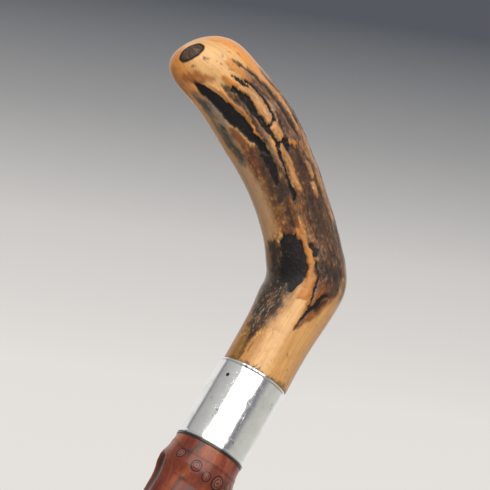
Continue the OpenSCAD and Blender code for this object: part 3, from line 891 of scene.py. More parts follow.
def paintBase(paint):
    # tan all over, peach on the nose, a bark field on the outer side and the back
    s, deg = hornS, (hornDeg + 360) % 360
    noise = paint.noise
    paint.lay("honey", 0.5 * smoothStep(-0.2, 0.5, noise.at(hornMm, 14.0, 2)))
    paint.lay("ridge", 0.35 * smoothStep(0.0, 0.6, noise.at(hornMm + 30, 9.0, 3)))
    nose = smoothStep(112, 122, s + 3 * noise.at(hornMm + 60, 6.0))
    paint.lay("peach", 0.9 * nose)
    paint.lay("orange", 0.8 * nose * smoothStep(122, 150, deg) * (1 - smoothStep(250, 300, deg)))
    paint.lay("orange", 0.7 * nose * (1 - smoothStep(40, 66, deg)))
    # the hidden back: deg 205 to 380
    back = smoothStep(225, 262, deg + 14 * noise.at(hornMm + 70, 12.0)) + 1 - smoothStep(40, 75, deg)
    bark = np.clip(back, 0, 1) * smoothStep(36, 52, s + 5 * noise.at(hornMm + 80, 9.0))
    bark *= 1 - smoothStep(106, 121, s + 6 * noise.at(hornMm + 85, 7.0))
    paint.bark = bark
    paint.lay("mauve", 0.8 * bark)
    paint.lay("umber", 0.6 * bark * smoothStep(-0.1, 0.5, noise.at(hornMm + 95, 7.0, 3)))
    paint.lay("ridge", 0.55 * bark * smoothStep(0.05, 0.5, noise.at(hornMm + 105, 5.0, 3)))


def paintBack(paint):
    # the same bark channels, scattered along the side that the photograph hides
    chance = random.Random(hornWorks["seed"])
    for i in range(hornWorks["backMarks"]):
        s0, deg0 = chance.uniform(40, 104), chance.uniform(-112, 18)
        length = chance.uniform(5, 22)
        drift = chance.uniform(-7, 7)
        points = [(s0 + length * k / 3, deg0 + drift * k / 3 + chance.uniform(-3.5, 3.5)) for k in range(4)]
        wide = chance.uniform(0.35, 1.0)
        tone = chance.choice(("soot", "shade", "pitch", "umber"))
        paint.mark(tone, 0.9, -0.45 * wide, (wide * 0.5, wide, wide * 0.9, wide * 0.4), 0.4, points)
    for i in range(hornWorks["backRidges"]):
        s0, deg0 = chance.uniform(44, 108), chance.uniform(-108, 12)
        length = chance.uniform(6, 16)
        drift = chance.uniform(-5, 5)
        points = [(s0 + length * k / 2, deg0 + drift * k / 2 + chance.uniform(-3, 3)) for k in range(3)]
        wide = chance.uniform(0.5, 1.1)
        halves = (wide * 0.5, wide, wide * 0.5)
        paint.mark(chance.choice(("ridge", "rose", "strip")), 0.85, 0.32, halves, 0.4, points)
    paint.mark("pitch", 0.95, -0.8, (0.8, 1.8, 2.4, 1.0), 0.3, [(84, -58), (94, -54), (106, -50), (119, -46)])
    paint.mark("shade", 0.85, -0.3, (1.2, 3.2, 3.0, 1.0), 0.4, [(36, -40), (43, -52), (52, -60), (60, -70)])


def paintPith(paint):
    middle, long, short = (np.array(pithOval[key]) for key in ("middle", "long", "short"))
    reach = hornMm - middle
    a, b = reach @ long / (long @ long), reach @ short / (short @ short)
    span = np.hypot(a, b) + 0.1 * paint.rough
    near = np.linalg.norm(reach, axis=1) < 9
    core = (1 - smoothStep(0.85, 1.08, span)) * near
    rim = (1 - smoothStep(0.06, 0.2, np.abs(span - 0.95))) * near
    paint.lay("pith", 0.95 * core)
    grains = smoothStep(0.0, 0.4, paint.noise.at(hornMm + 300, 1.1, 3))
    paint.lay("umber", 0.7 * core * grains)
    paint.lay("soot", 0.75 * rim)
    paint.height += -0.12 * core
    paint.stipple = np.maximum(paint.stipple, core)


def paintStipple(paint):
    # where the pearled bark shows as fine dark and light grains
    for strength, half, points in (
            (1.0, 6.0, [(14, 158), (24, 152), (34, 145), (44, 140), (56, 140)]),
            (0.8, 5.0, [(56, 130), (68, 130), (80, 130), (92, 134)]),
            (0.9, 7.5, [(42, 68), (60, 66), (80, 64), (96, 62)]),
            (0.6, 5.0, [(60, 108), (76, 116), (92, 120)])):
        near = strokeShare(paint.s, paint.deg, points, half, 0.5)
        paint.stipple = np.maximum(paint.stipple, strength * near)
    paint.stipple = np.maximum(paint.stipple, 0.9 * paint.bark) * (1 - 0.85 * paint.smooth)
    pearled = [(12, 151), (18, 150), (27, 148), (38, 150)]
    paint.pearl = strokeShare(paint.s, paint.deg, pearled, (2.0, 4.8, 5.6, 3.4), 0.45)


paint = HornPaint()
paintBase(paint)
paintBack(paint)
for mark in hornMarks:
    paint.mark(*mark)
for mark in noseMarks:
    paint.mark(*mark)
paintStipple(paint)
paintPith(paint)
print("antler painted")


def shapeByWeights(piece, heights, deepest):
    # raises and presses the surface along its normals through two vertex groups
    for name, sign in (("raised", 1), ("pressed", -1)):
        weights = np.clip(sign * heights / deepest, 0, 1)
        group = piece.vertex_groups.new(name=name)
        for index in np.nonzero(weights > 0.002)[0]:
            group.add([int(index)], float(weights[index]), "REPLACE")
        applyModifier(piece, "DISPLACE", strength=sign * deepest * mm, mid_level=0.0, vertex_group=name)


def barkRelief(paint):
    # shallow rough bark between the drawn channels, and soft swellings of the polished horn
    seen = strokeShare(hornS, hornDeg, [(44, 70), (64, 82), (90, 92), (114, 84)], 9.0, 0.5)
    field = np.maximum(paint.bark, seen)
    streak = paint.noise.at(np.stack([hornS * 0.28, hornMm[:, 1], hornMm[:, 0] + hornMm[:, 2]], 1), 1.9, 3)
    paint.field = field * (1 - 0.8 * paint.smooth)
    return field * (0.32 * streak - 0.05) + 0.05 * paint.noise.at(hornMm + 400, 8.0, 2)


heights = paint.height + barkRelief(paint)
heights *= smoothStep(0.3, 1.6, hornS)
shapeByWeights(horn, heights, 1.2)
writeColour(horn, "hornTone", paint.tone)
writeMask(horn, "hornDark", paint.dark)
writeMask(horn, "hornStipple", paint.stipple)
writeMask(horn, "hornField", paint.field)
writeMask(horn, "hornPearl", paint.pearl)
grain = hornPlace.copy()
grain[:, 0] *= mm
grain[:, 1:] *= 13.5 * mm
writeVector(horn, "hornGrain", grain)
print("antler carved, heights", round(float(heights.min()), 2), "to", round(float(heights.max()), 2), "mm")


def antlerMaterial():
    material, wiring, shader = newMaterial("polishedAntler")
    shader.inputs["IOR"].default_value = 1.54
    shader.inputs["Coat Roughness"].default_value = 0.16
    shader.inputs["Coat IOR"].default_value = 1.5
    shader.inputs["Specular IOR Level"].default_value = 0.25
    place = wiring.objectPlace()
    grain = wiring.attribute("hornGrain", "Vector")
    dark = wiring.attribute("hornDark", "Fac")
    stipple = wiring.attribute("hornStipple", "Fac")
    field = wiring.attribute("hornField", "Fac")
    # growth streaks of the polished horn
    fibres = wiring.group("growthFibres", Vector=grain, Fineness=1300.0, Contrast=0.85)
    cloud = wiring.noise(place, 140.0, 4.0, 0.6)
    tone = wiring.attribute("hornTone", "Color")
    value = wiring.plus(wiring.plus(1.0, fibres["Streaks"]),
                         wiring.times(wiring.minus(cloud, 0.5), 0.34))
    # the bark field is mottled far more strongly than the polished horn
    mottle = wiring.noise(wiring.stretched(grain, (0.42, 1.0, 1.0)), 430.0, 6.0, 0.66, 0.4)
    swing = wiring.remap(mottle, 0.34, 0.68, -0.55, 0.55)
    value = wiring.plus(value, wiring.times(swing, wiring.maths("MAXIMUM", field, stipple)))
    toned = wiring.node("ShaderNodeHueSaturation")
    wiring.feed(toned.inputs["Color"], tone)
    wiring.feed(toned.inputs["Value"], value)
    # grains of pearled bark, longer than wide, dark between them
    squeezed = wiring.stretched(grain, (0.55, 1.0, 1.0))
    wobble = wiring.noise(squeezed, 1500.0, 2.0)
    cells = wiring.cells(squeezed, 1150.0)
    gaps = wiring.remap(wiring.plus(cells, wiring.times(wobble, 0.45)), 0.52, 0.80)
    gapShare = wiring.times(wiring.times(gaps, stipple), 0.62)
    grained = wiring.blend(gapShare, toned.outputs[0], (0.042, 0.024, 0.016))
    # pale wavy threads of the pearled patch inside the elbow
    pearl = wiring.attribute("hornPearl", "Fac")
    threads = wiring.noise(wiring.stretched(grain, (0.34, 1.0, 1.0)), 950.0, 3.0, 0.6, 0.8)
    threadShare = wiring.times(wiring.remap(threads, 0.54, 0.64), pearl)
    grained = wiring.blend(wiring.times(threadShare, 0.8), grained, (0.33, 0.26, 0.205))
    # thin dark veins of the bark field
    lines = wiring.noise(wiring.stretched(grain, (0.24, 1.0, 1.0)), 520.0, 4.0, 0.6, 0.6)
    ridge = wiring.maths("ABSOLUTE", wiring.minus(lines, 0.5))
    vein = wiring.times(wiring.remap(ridge, 0.012, 0.05, 1.0, 0.0), field)
    veinShare = wiring.times(vein, 0.62)
    veined = wiring.blend(veinShare, grained, (0.030, 0.018, 0.014))
    # the drawn black marks, their edges broken up by fine noise
    edge = wiring.noise(grain, 1900.0, 4.0, 0.65)
    broken = wiring.plus(dark, wiring.times(wiring.minus(edge, 0.5), 0.7))
    blackShare = wiring.times(wiring.remap(broken, 0.42, 0.70), 0.9)
    blackened = wiring.blend(blackShare, veined, (0.0045, 0.003, 0.0026))
    # loose pores
    pores = wiring.group("scatteredPores", Vector=squeezed, Size=700.0, Amount=0.42)
    poreShare = wiring.times(pores["Pores"], 0.5)
    wiring.feed(shader.inputs["Base Color"], wiring.blend(poreShare, blackened, (0.11, 0.055, 0.028)))
    rough = wiring.plus(0.30, wiring.times(cloud, 0.12))
    rough = wiring.plus(rough, wiring.times(wiring.maths("MAXIMUM", blackShare, gapShare), 0.22))
    wiring.feed(shader.inputs["Roughness"], rough)
    coat = wiring.minus(0.22, wiring.times(blackShare, 0.16))
    wiring.feed(shader.inputs["Coat Weight"], coat)
    relief = wiring.minus(wiring.times(fibres["Height"], 0.18),
                          wiring.times(gapShare, 0.9))
    relief = wiring.minus(relief, wiring.times(vein, 0.8))
    relief = wiring.minus(relief, wiring.times(pores["Pores"], 0.4))
    relief = wiring.plus(relief, wiring.times(wiring.times(edge, blackShare), 0.6))
    wiring.feed(shader.inputs["Normal"], wiring.bump(relief, 0.16 * mm, 0.8))
    return material


settle(horn, antlerMaterial(), ["antler_handle"])
print("antler finished")


# Turned pieces: a corner drawn along a profile, then spun around the cane's axis

def spunPiece(name, profile, steps, closed=True):
    deselectAll()
    bpy.ops.mesh.primitive_plane_add(size=mm, location=(0, 0, 0))
    piece = namedPiece(name)
    bpy.ops.object.mode_set(mode="EDIT")
    bpy.ops.mesh.select_all(action="SELECT")
    bpy.ops.mesh.merge(type="CENTER")
    bpy.ops.transform.translate(value=(profile[0][0], 0, profile[0][1]))
    for (r0, z0), (r1, z1) in zip(profile[:-1], profile[1:]):
        bpy.ops.mesh.extrude_region_move(TRANSFORM_OT_translate={"value": (r1 - r0, 0, z1 - z0)})
    if closed:
        (r0, z0), (r1, z1) = profile[-1], profile[0]
        bpy.ops.mesh.extrude_region_move(TRANSFORM_OT_translate={"value": (r1 - r0, 0, z1 - z0)})
    bpy.ops.mesh.select_all(action="SELECT")
    bpy.ops.mesh.spin(steps=steps, angle=2 * math.pi, center=(0, 0, 0), axis=(0, 0, 1))
    bpy.ops.object.mode_set(mode="OBJECT")
    tidyMesh(piece)
    return piece


def aroundAxis(places):
    # turn around the cane in degrees from +X, radius and height, in mm from the collar's foot
    turn = np.degrees(np.arctan2(places[:, 1], places[:, 0]))
    return turn, np.hypot(places[:, 0], places[:, 1]) / mm, (places[:, 2] - collarFoot) / mm


def turnGap(turn, middle):
    return (turn - middle + 180) % 360 - 180


# Silver collar: rolled lips, softly dented by use, with the hole for its pin

collar = {
    "radius": 12.7, "lip": 0.16, "lipHeight": 0.9, "inner": 11.9, "wave": 0.055, "waveSize": 9.0,
    "pinTurn": 210.0, "pinDrop": 6.0, "pinRadius": 0.7, "pin": (0.66, 4.7, 12.46, 0.22, 4),
    "rows": 44, "around": 160,
    "dents": [(205, 14.0, 1.1, 0.08), (226, 9.8, 1.3, 0.06), (265, 18.6, 1.5, 0.12), (292, 12.0, 1.6, 0.06),
              (304, 22.0, 1.4, 0.06), (231, 29.0, 1.0, 0.12), (250, 28.6, 1.2, 0.08), (262, 4.0, 1.4, 0.05),
              (40, 12.0, 2.2, 0.10), (110, 20.0, 2.0, 0.09), (150, 8.0, 1.8, 0.08), (340, 24.0, 1.7, 0.09)],
}


def collarProfile():
    height = (collarTop - collarFoot) / mm
    lip, rise = collar["lip"], collar["lipHeight"]
    outside = [(0.05, 0.0), (collar["lip"] * 0.6, 0.06)]
    outside += [(lip * math.sin(math.pi * k / 8) ** 0.7, rise * k / 8) for k in range(1, 8)]
    rows = collar["rows"]
    outside += [(0, rise + (height - 2 * rise) * k / rows) for k in range(rows + 1)]
    outside += [(lip * math.sin(math.pi * k / 8) ** 0.7, height - rise + rise * k / 8) for k in range(1, 8)]
    outside += [(lip * 0.4, height - 0.02), (-0.12, height), (-0.5, height - 0.03)]
    wall = [(collar["radius"] + out, z) for out, z in outside]
    wall += [(collar["inner"], height - 0.12), (collar["inner"], 0.06), (collar["inner"] + 0.2, 0.0)]
    return [(r * mm, collarFoot + z * mm) for r, z in wall]


def makeCollar():
    piece = spunPiece("silverCollar", collarProfile(), collar["around"])
    places = vertexPlaces(piece)
    turn, radius, height = aroundAxis(places)
    outer = smoothStep(12.3, 12.6, radius)
    noise = SoftNoise(23)
    middle = smoothStep(0.6, 4.0, height) * smoothStep(0.6, 4.0, (collarTop - collarFoot) / mm - height)
    heights = outer * middle * collar["wave"] * noise.at(places / mm, collar["waveSize"], 2)
    lip = outer * (1 - middle) * 0.05 * noise.at(places / mm + 70, 4.0, 2)
    heights = heights + lip
    for at, z, size, deep in collar["dents"]:
        span = np.hypot(turnGap(turn, at) * 0.222, height - z)
        heights = heights - outer * deep * np.exp(-(span / size) ** 2)
    shapeByWeights(piece, heights, 0.3)
    return piece


def drillPinHole(piece):
    # a cutter of the pin's size takes the hole out of the wall
    bearing = math.radians(collar["pinTurn"])
    out = Vector((math.cos(bearing), math.sin(bearing), 0))
    spot = out * collar["radius"] * mm + Vector((0, 0, collarTop - collar["pinDrop"] * mm))
    deselectAll()
    bpy.ops.mesh.primitive_cylinder_add(vertices=24, radius=collar["pinRadius"] * mm, depth=3 * mm,
                                        location=spot, rotation=out.to_track_quat("Z", "Y").to_euler())
    cutter = namedPiece("pinCutter")
    applyModifier(piece, "BOOLEAN", operation="DIFFERENCE", object=cutter, solver="EXACT")
    deselectAll()
    bpy.data.objects.remove(cutter)


def metalMaterial(name, base, shade, rough, tarnishShare, scratch, pits, fineness, extra=None):
    # handled metal: base and tarnished colour, roughness, and how strong its wear shows
    material, wiring, shader = newMaterial(name, Metallic=1.0)
    place = wiring.objectPlace()
    wear = wiring.group("handledMetal", Vector=place, Fineness=fineness)
    cloud = wiring.remap(wear["Tarnish"], 0.42, 0.70)
    share = wiring.times(cloud, tarnishShare)
    tone = wiring.blend(share, base, shade)
    pitShare = wiring.times(wear["Pits"], pits)
    tone = wiring.blend(pitShare, tone, tuple(c * 0.25 for c in shade))
    if extra is not None:
        tone = extra(wiring, tone)
    wiring.feed(shader.inputs["Base Color"], tone)
    roughness = wiring.plus(rough, wiring.times(cloud, 0.12 + tarnishShare * 0.2))
    roughness = wiring.plus(roughness, wiring.times(wear["Scratches"], 0.15))
    wiring.feed(shader.inputs["Roughness"], roughness)
    relief = wiring.plus(wiring.times(wear["Scratches"], -scratch),
                          wiring.times(wear["Tarnish"], 0.35))
    relief = wiring.minus(relief, pitShare)
    wiring.feed(shader.inputs["Normal"], wiring.bump(relief, 0.03 * mm, 0.55))
    return material


def makePin(name, size, bearing, height, material, node):
    # size: radius, length, how far its end stands from the axis, width and steps of its rounding, in mm
    radius, length, reach, rounding, steps = size
    out = Vector((math.cos(bearing), math.sin(bearing), 0))
    deselectAll()
    bpy.ops.mesh.primitive_cylinder_add(
        vertices=28, radius=radius * mm, depth=length * mm,
        location=out * (reach - length / 2) * mm + Vector((0, 0, height)),
        rotation=out.to_track_quat("Z", "Y").to_euler())
    pin = namedPiece(name)
    pick(pin)
    bpy.ops.object.transform_apply(location=True, rotation=True, scale=True)
    applyModifier(pin, "BEVEL", width=rounding * mm, segments=steps, limit_method="ANGLE",
                  angle_limit=math.radians(40))
    settle(pin, material, [node], sharp=40)


def collarKnocksAndRimShade(wiring, tone):
    # small dark knocks on the collar, and painted shade along its top and bottom rims where it meets the
    # antler and the spacer, from the mask that markCollar writes
    share = wiring.times(wiring.attribute("collarMarks", "Fac"), 0.85)
    return wiring.blend(share, tone, (0.03, 0.028, 0.03))


collarMarks = [
    (226, 11.0, 0.34), (225.2, 9.6, 0.24), (224.4, 8.4, 0.28), (204.5, 14.6, 0.22), (264.5, 19.2, 0.3),
    (230.5, 29.4, 0.6), (241, 29.6, 0.45), (252, 29.6, 0.35), (305, 23.4, 0.24), (309, 22.0, 0.18),
    (315, 17.9, 0.25), (275, 4.2, 0.2), (40, 14.0, 0.3), (120, 20.0, 0.3),
]


def markCollar(piece):
    turn, radius, height = aroundAxis(vertexPlaces(piece))
    marks = np.zeros(len(turn))
    for at, z, size in collarMarks:
        span = np.hypot(turnGap(turn, at) * 0.222, height - z)
        marks = np.maximum(marks, (1 - smoothStep(size * 0.6, size * 1.5, span)) * (radius > 12.3))
    # painted shade: the collar's top and bottom rims darkened, where it meets the antler and the spacer
    rimShade = 1 - smoothStep(0.0, 0.45, height) + smoothStep(29.75, 30.0, height)
    marks = np.maximum(marks, 0.5 * rimShade)
    writeMask(piece, "collarMarks", marks)


silverCollar = makeCollar()
drillPinHole(silverCollar)
markCollar(silverCollar)
silver = metalMaterial("wornSilver", (0.93, 0.925, 0.905), (0.66, 0.60, 0.52), 0.10, 0.30, 0.7, 0.25, 1.0,
                       extra=collarKnocksAndRimShade)
settle(silverCollar, silver, ["silver_collar"], sharp=40)
print("collar made,", len(silverCollar.data.polygons), "faces")

# Collar pin: a dark round head, a little below the silver

pinLow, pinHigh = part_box("collar_pin")
darkSteel = metalMaterial("darkSteel", (0.10, 0.09, 0.085), (0.05, 0.035, 0.028), 0.34, 0.8, 0.7, 0.5, 3.0)
makePin("collarPin", collar["pin"], math.radians(collar["pinTurn"]), (pinLow.z + pinHigh.z) / 2, darkSteel,
        "collar_pin")

# Black horn ring between the collar and the bamboo

spacer = {"radius": 12.78, "inner": 11.9, "height": 1.0, "round": 0.32}


def spacerProfile():
    r, h, c = spacer["radius"], spacer["height"], spacer["round"]
    outside = [(r - c + c * math.sin(a), c - c * math.cos(a)) for a in (0, 0.4, 0.8, 1.2, math.pi / 2)]
    outside += [(r - c + c * math.cos(a), h - c + c * math.sin(a)) for a in (0, 0.4, 0.8, 1.2, math.pi / 2)]
    wall = outside + [(spacer["inner"], h), (spacer["inner"], 0)]
    return [(r * mm, spacerFoot + z * mm) for r, z in wall]


def hornRingMaterial():
    material, wiring, shader = newMaterial("blackHorn")
    shader.inputs["Coat Weight"].default_value = 0.35
    shader.inputs["Coat Roughness"].default_value = 0.12
    place = wiring.objectPlace()
    across = wiring.stretched(place, (1, 1, 5))
    fibres = wiring.group("growthFibres", Vector=across, Fineness=700.0, Contrast=1.0)
    share = wiring.remap(fibres["Streaks"], -0.1, 0.25)
    wiring.feed(shader.inputs["Base Color"], wiring.blend(share, (0.008, 0.007, 0.006), (0.035, 0.026, 0.02)))
    wiring.feed(shader.inputs["Roughness"], wiring.remap(fibres["Streaks"], -0.2, 0.3, 0.22, 0.42))
    wiring.feed(shader.inputs["Normal"], wiring.bump(fibres["Height"], 0.02 * mm, 0.4))
    return material


hornRing = spunPiece("hornSpacer", spacerProfile(), 128)
settle(hornRing, hornRingMaterial(), ["horn_spacer"], sharp=40)
print("pin and spacer made")

# Bamboo shaft: a long spun profile with nodes, grooves, sheath scars and root eyes

bamboo = {
    "topRadius": 12.6, "tipRadius": 9.2, "length": 735.0, "footHeight": 43.0, "nodes": 13, "firstNode": 9.0,
    "growth": 1.9, "tipRun": 0.6, "swell": 1.5, "reach": 8.0, "grooveDepth": 1.5, "grooveRound": 5.0,
    "grooveShare": 0.7, "grooveStart": 175.0, "grooveWander": 9.0, "grooveStep": 97.0,
    "tenonRadius": 11.8, "around": 168, "fineStep": 0.42, "nodeStep": 1.1, "plainStep": 3.6,
    "lipRaise": 0.28, "eyeRaise": 0.14,
}
# Root eyes seen in the photograph on the first node: turn, height from the node's middle and radius
seenEyes = [(212, 2.2, 1.6), (243, 0.6, 1.9), (263, -0.9, 1.55), (283, -0.6, 2.3)]
shaftTop = bamboo["footHeight"] + bamboo["length"]
growthStep = bamboo["growth"] ** (1 / (bamboo["nodes"] - 1))


def runShare(n):
    return sum(growthStep ** k for k in range(n))


lastShare = runShare(bamboo["nodes"] - 1) + bamboo["tipRun"] * growthStep ** (bamboo["nodes"] - 1)
firstRun = (bamboo["length"] - bamboo["firstNode"]) / lastShare


def nodeHeight(n):
    return shaftTop - bamboo["firstNode"] - firstRun * runShare(n)


def grooveTurn(n):
    wander = bamboo["grooveWander"] * math.sin(math.radians(bamboo["grooveStep"] * n))
    return bamboo["grooveStart"] + 180 * (n % 2) + wander


def plainRadius(z):
    share = (z - bamboo["footHeight"]) / bamboo["length"]
    return bamboo["tipRadius"] + (bamboo["topRadius"] - bamboo["tipRadius"]) * share


nodeOutline = ([-1, -0.75, -0.5, -0.25, 0, 0.2, 0.5, 0.8, 1], [0, 0.1, 0.34, 0.78, 1, 0.86, 0.36, 0.07, 0])


def swellAt(z):
    return max(np.interp((z - nodeHeight(n)) / bamboo["reach"], *nodeOutline, left=0, right=0)
               for n in range(bamboo["nodes"])) * bamboo["swell"]


def bambooProfile():
    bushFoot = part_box("hardwood_bush")[0].z / mm - 0.1
    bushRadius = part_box("hardwood_bush")[1].x / mm + 0.1
    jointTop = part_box("bamboo_shaft")[1].z / mm
    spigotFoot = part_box("bamboo_shaft")[0].z / mm
    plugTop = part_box("tip_plug")[1].z / mm + 0.1
    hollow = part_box("tip_plug")[1].x / mm + 0.1
    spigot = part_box("ferrule")[1].x / mm - 1.0
    middles = [nodeHeight(n) for n in range(bamboo["nodes"])]
    rows, z = [], shaftTop - 0.05
    while z > bamboo["footHeight"] + 0.3:
        rows.append((plainRadius(z) + swellAt(z), z))
        near = min(abs(z - middle) for middle in middles)
        fine = z > middles[0] - 17
        z -= bamboo["fineStep"] if fine else bamboo["nodeStep"] if near < 9 else bamboo["plainStep"]
    foot = bamboo["footHeight"] + 0.1
    start = [(0, bushFoot), (bushRadius, bushFoot), (bushRadius, jointTop), (bamboo["tenonRadius"], jointTop),
             (bamboo["tenonRadius"], shaftTop), (rows[0][0] - 0.25, shaftTop)]
    end = [(bamboo["tipRadius"], foot), (spigot, foot), (spigot, spigotFoot), (hollow, spigotFoot),
           (hollow, plugTop), (0, plugTop)]
    return [(r * mm, z * mm) for r, z in start + rows + end]


# Dark smudges under the lacquer near the collar: two ends (turn, height below the collar) and half width
smudges = [((234, -1.2), (229, -3.6), 0.9), ((229, -3.6), (233, -5.2), 0.5), ((226, -5.6), (222, -6.6), 0.7),
           ((231, -15.5), (229, -21.5), 0.6), ((292, -17), (300, -24), 0.8),
           ((202, -14.5), (246, -15.6), 0.12),
           ((120, -3), (128, -6), 0.9), ((60, -16), (64, -25), 0.8), ((15, -4), (8, -7), 0.8)]


def smudgeMask(turn, z):
    total = np.zeros(len(z))
    for (turn0, z0), (turn1, z1), half in smudges:
        along = np.array([(turn1 - turn0) * 0.23, z1 - z0])
        px, py = turnGap(turn, turn0) * 0.23, z - shaftTop - 1 - z0
        t = np.clip((px * along[0] + py * along[1]) / (along @ along), 0, 1)
        gap = np.hypot(px - t * along[0], py - t * along[1])
        total = np.maximum(total, 1 - smoothStep(half * 0.6, half * 1.6, gap))
    return total


def eyeTable():
    # the four seen eyes, then scattered ones that fade out down the cane
    chance = random.Random(8)
    eyes = [(turn, nodeHeight(0) + dz, size) for turn, dz, size in seenEyes]
    for turn in (20, 43, 66, 90, 113, 137, 306, 331, 354):
        turn, rise = turn + chance.uniform(-4, 4), chance.uniform(-1.6, 0.8)
        eyes.append((turn, nodeHeight(0) + rise, chance.uniform(1.3, 2.2)))
    for n, count in ((1, 13), (2, 9), (3, 6), (4, 3)):
        for k in range(count):
            turn = 360 * k / count + chance.uniform(-8, 8)
            if abs(turnGap(turn, grooveTurn(n))) > 26:
                rise = chance.uniform(-3.0, -0.8)
                eyes.append((turn, nodeHeight(n) + rise, chance.uniform(1.0, 1.9)))
    return eyes


def carveBamboo(piece):
    # relief and masks of the shaft, worked out corner by corner
    places = vertexPlaces(piece)
    turn = np.degrees(np.arctan2(places[:, 1], places[:, 0]))
    z, radius = places[:, 2] / mm, np.hypot(places[:, 0], places[:, 1]) / mm
    skin = (z < shaftTop - 0.02) & (z > bamboo["footHeight"] + 0.15) & (radius > bamboo["tipRadius"] - 1.0)
    arc = math.pi / 180 * radius
    noise = SoftNoise(31)
    heights, groove = np.zeros(len(z)), np.zeros(len(z))
    scar, ringed = np.zeros(len(z)), np.full(len(z), 2.0)
    for n in range(bamboo["nodes"]):
        node, run = nodeHeight(n), firstRun * growthStep ** n * bamboo["grooveShare"]
        top = node - bamboo["reach"] * 0.3
        across = turnGap(turn, grooveTurn(n)) * arc
        past = np.clip((top - z) / run, 0, 1)
        above = np.clip(z - top, 0, None)
        round2 = bamboo["grooveRound"] ** 2 - across ** 2 - above ** 2
        scoop = bamboo["grooveDepth"] * (1 - past) - bamboo["grooveRound"] + np.sqrt(np.clip(round2, 0, None))
        scoop = np.where((round2 > 0) & (past < 1), np.clip(scoop, 0, None), 0)
        heights -= scoop
        groove = np.maximum(groove, scoop / bamboo["grooveDepth"])
        lip = np.exp(-((np.abs(across) - 4.1) / 0.9) ** 2) * smoothStep(-2.0, 1.0, top - z)
        heights += bamboo["lipRaise"] * lip * (1 - past) * (past < 1)
        bend = np.exp(-(turnGap(turn, grooveTurn(n)) / 25) ** 2)
        line = node + 3.7 + 2.6 * bend + 0.35 * noise.at(places / mm + 20 * n, 7.0, 2)
        gap = z - line
        scar = np.maximum(scar, np.exp(-(gap / 0.32) ** 2))
        heights += 0.14 * smoothStep(-0.5, 0.1, 0.4 - np.abs(gap - 0.5)) - 0.10 * np.exp(-(gap / 0.28) ** 2)
    for eyeTurn, eyeZ, size in eyeTable():
        span = np.hypot(turnGap(turn, eyeTurn) * arc, (z - eyeZ) * 0.92) / size
        ringed = np.minimum(ringed, span)
        rimGroove = 0.6 * np.exp(-((span - 1.0) / 0.16) ** 2)
        heights += bamboo["eyeRaise"] * (1 - smoothStep(0.2, 0.85, span) - rimGroove)
    heights += 0.05 * noise.at(places / mm + 300, 11.0, 2)
    heights *= skin
    shapeByWeights(piece, heights, 1.7)
    writeMask(piece, "bambooGroove", groove * skin)
    writeMask(piece, "bambooScar", scar * skin)
    writeMask(piece, "bambooEye", np.where(skin, ringed, 2.0))
    writeMask(piece, "bambooNode", nearNode(z) * skin)
    writeMask(piece, "bambooSmudge", smudgeMask(turn, z) * skin)


def nearNode(z):
    total = np.zeros(len(z))
    for n in range(bamboo["nodes"]):
        total = np.maximum(total, np.exp(-((z - nodeHeight(n)) / 5.5) ** 2))
    return total


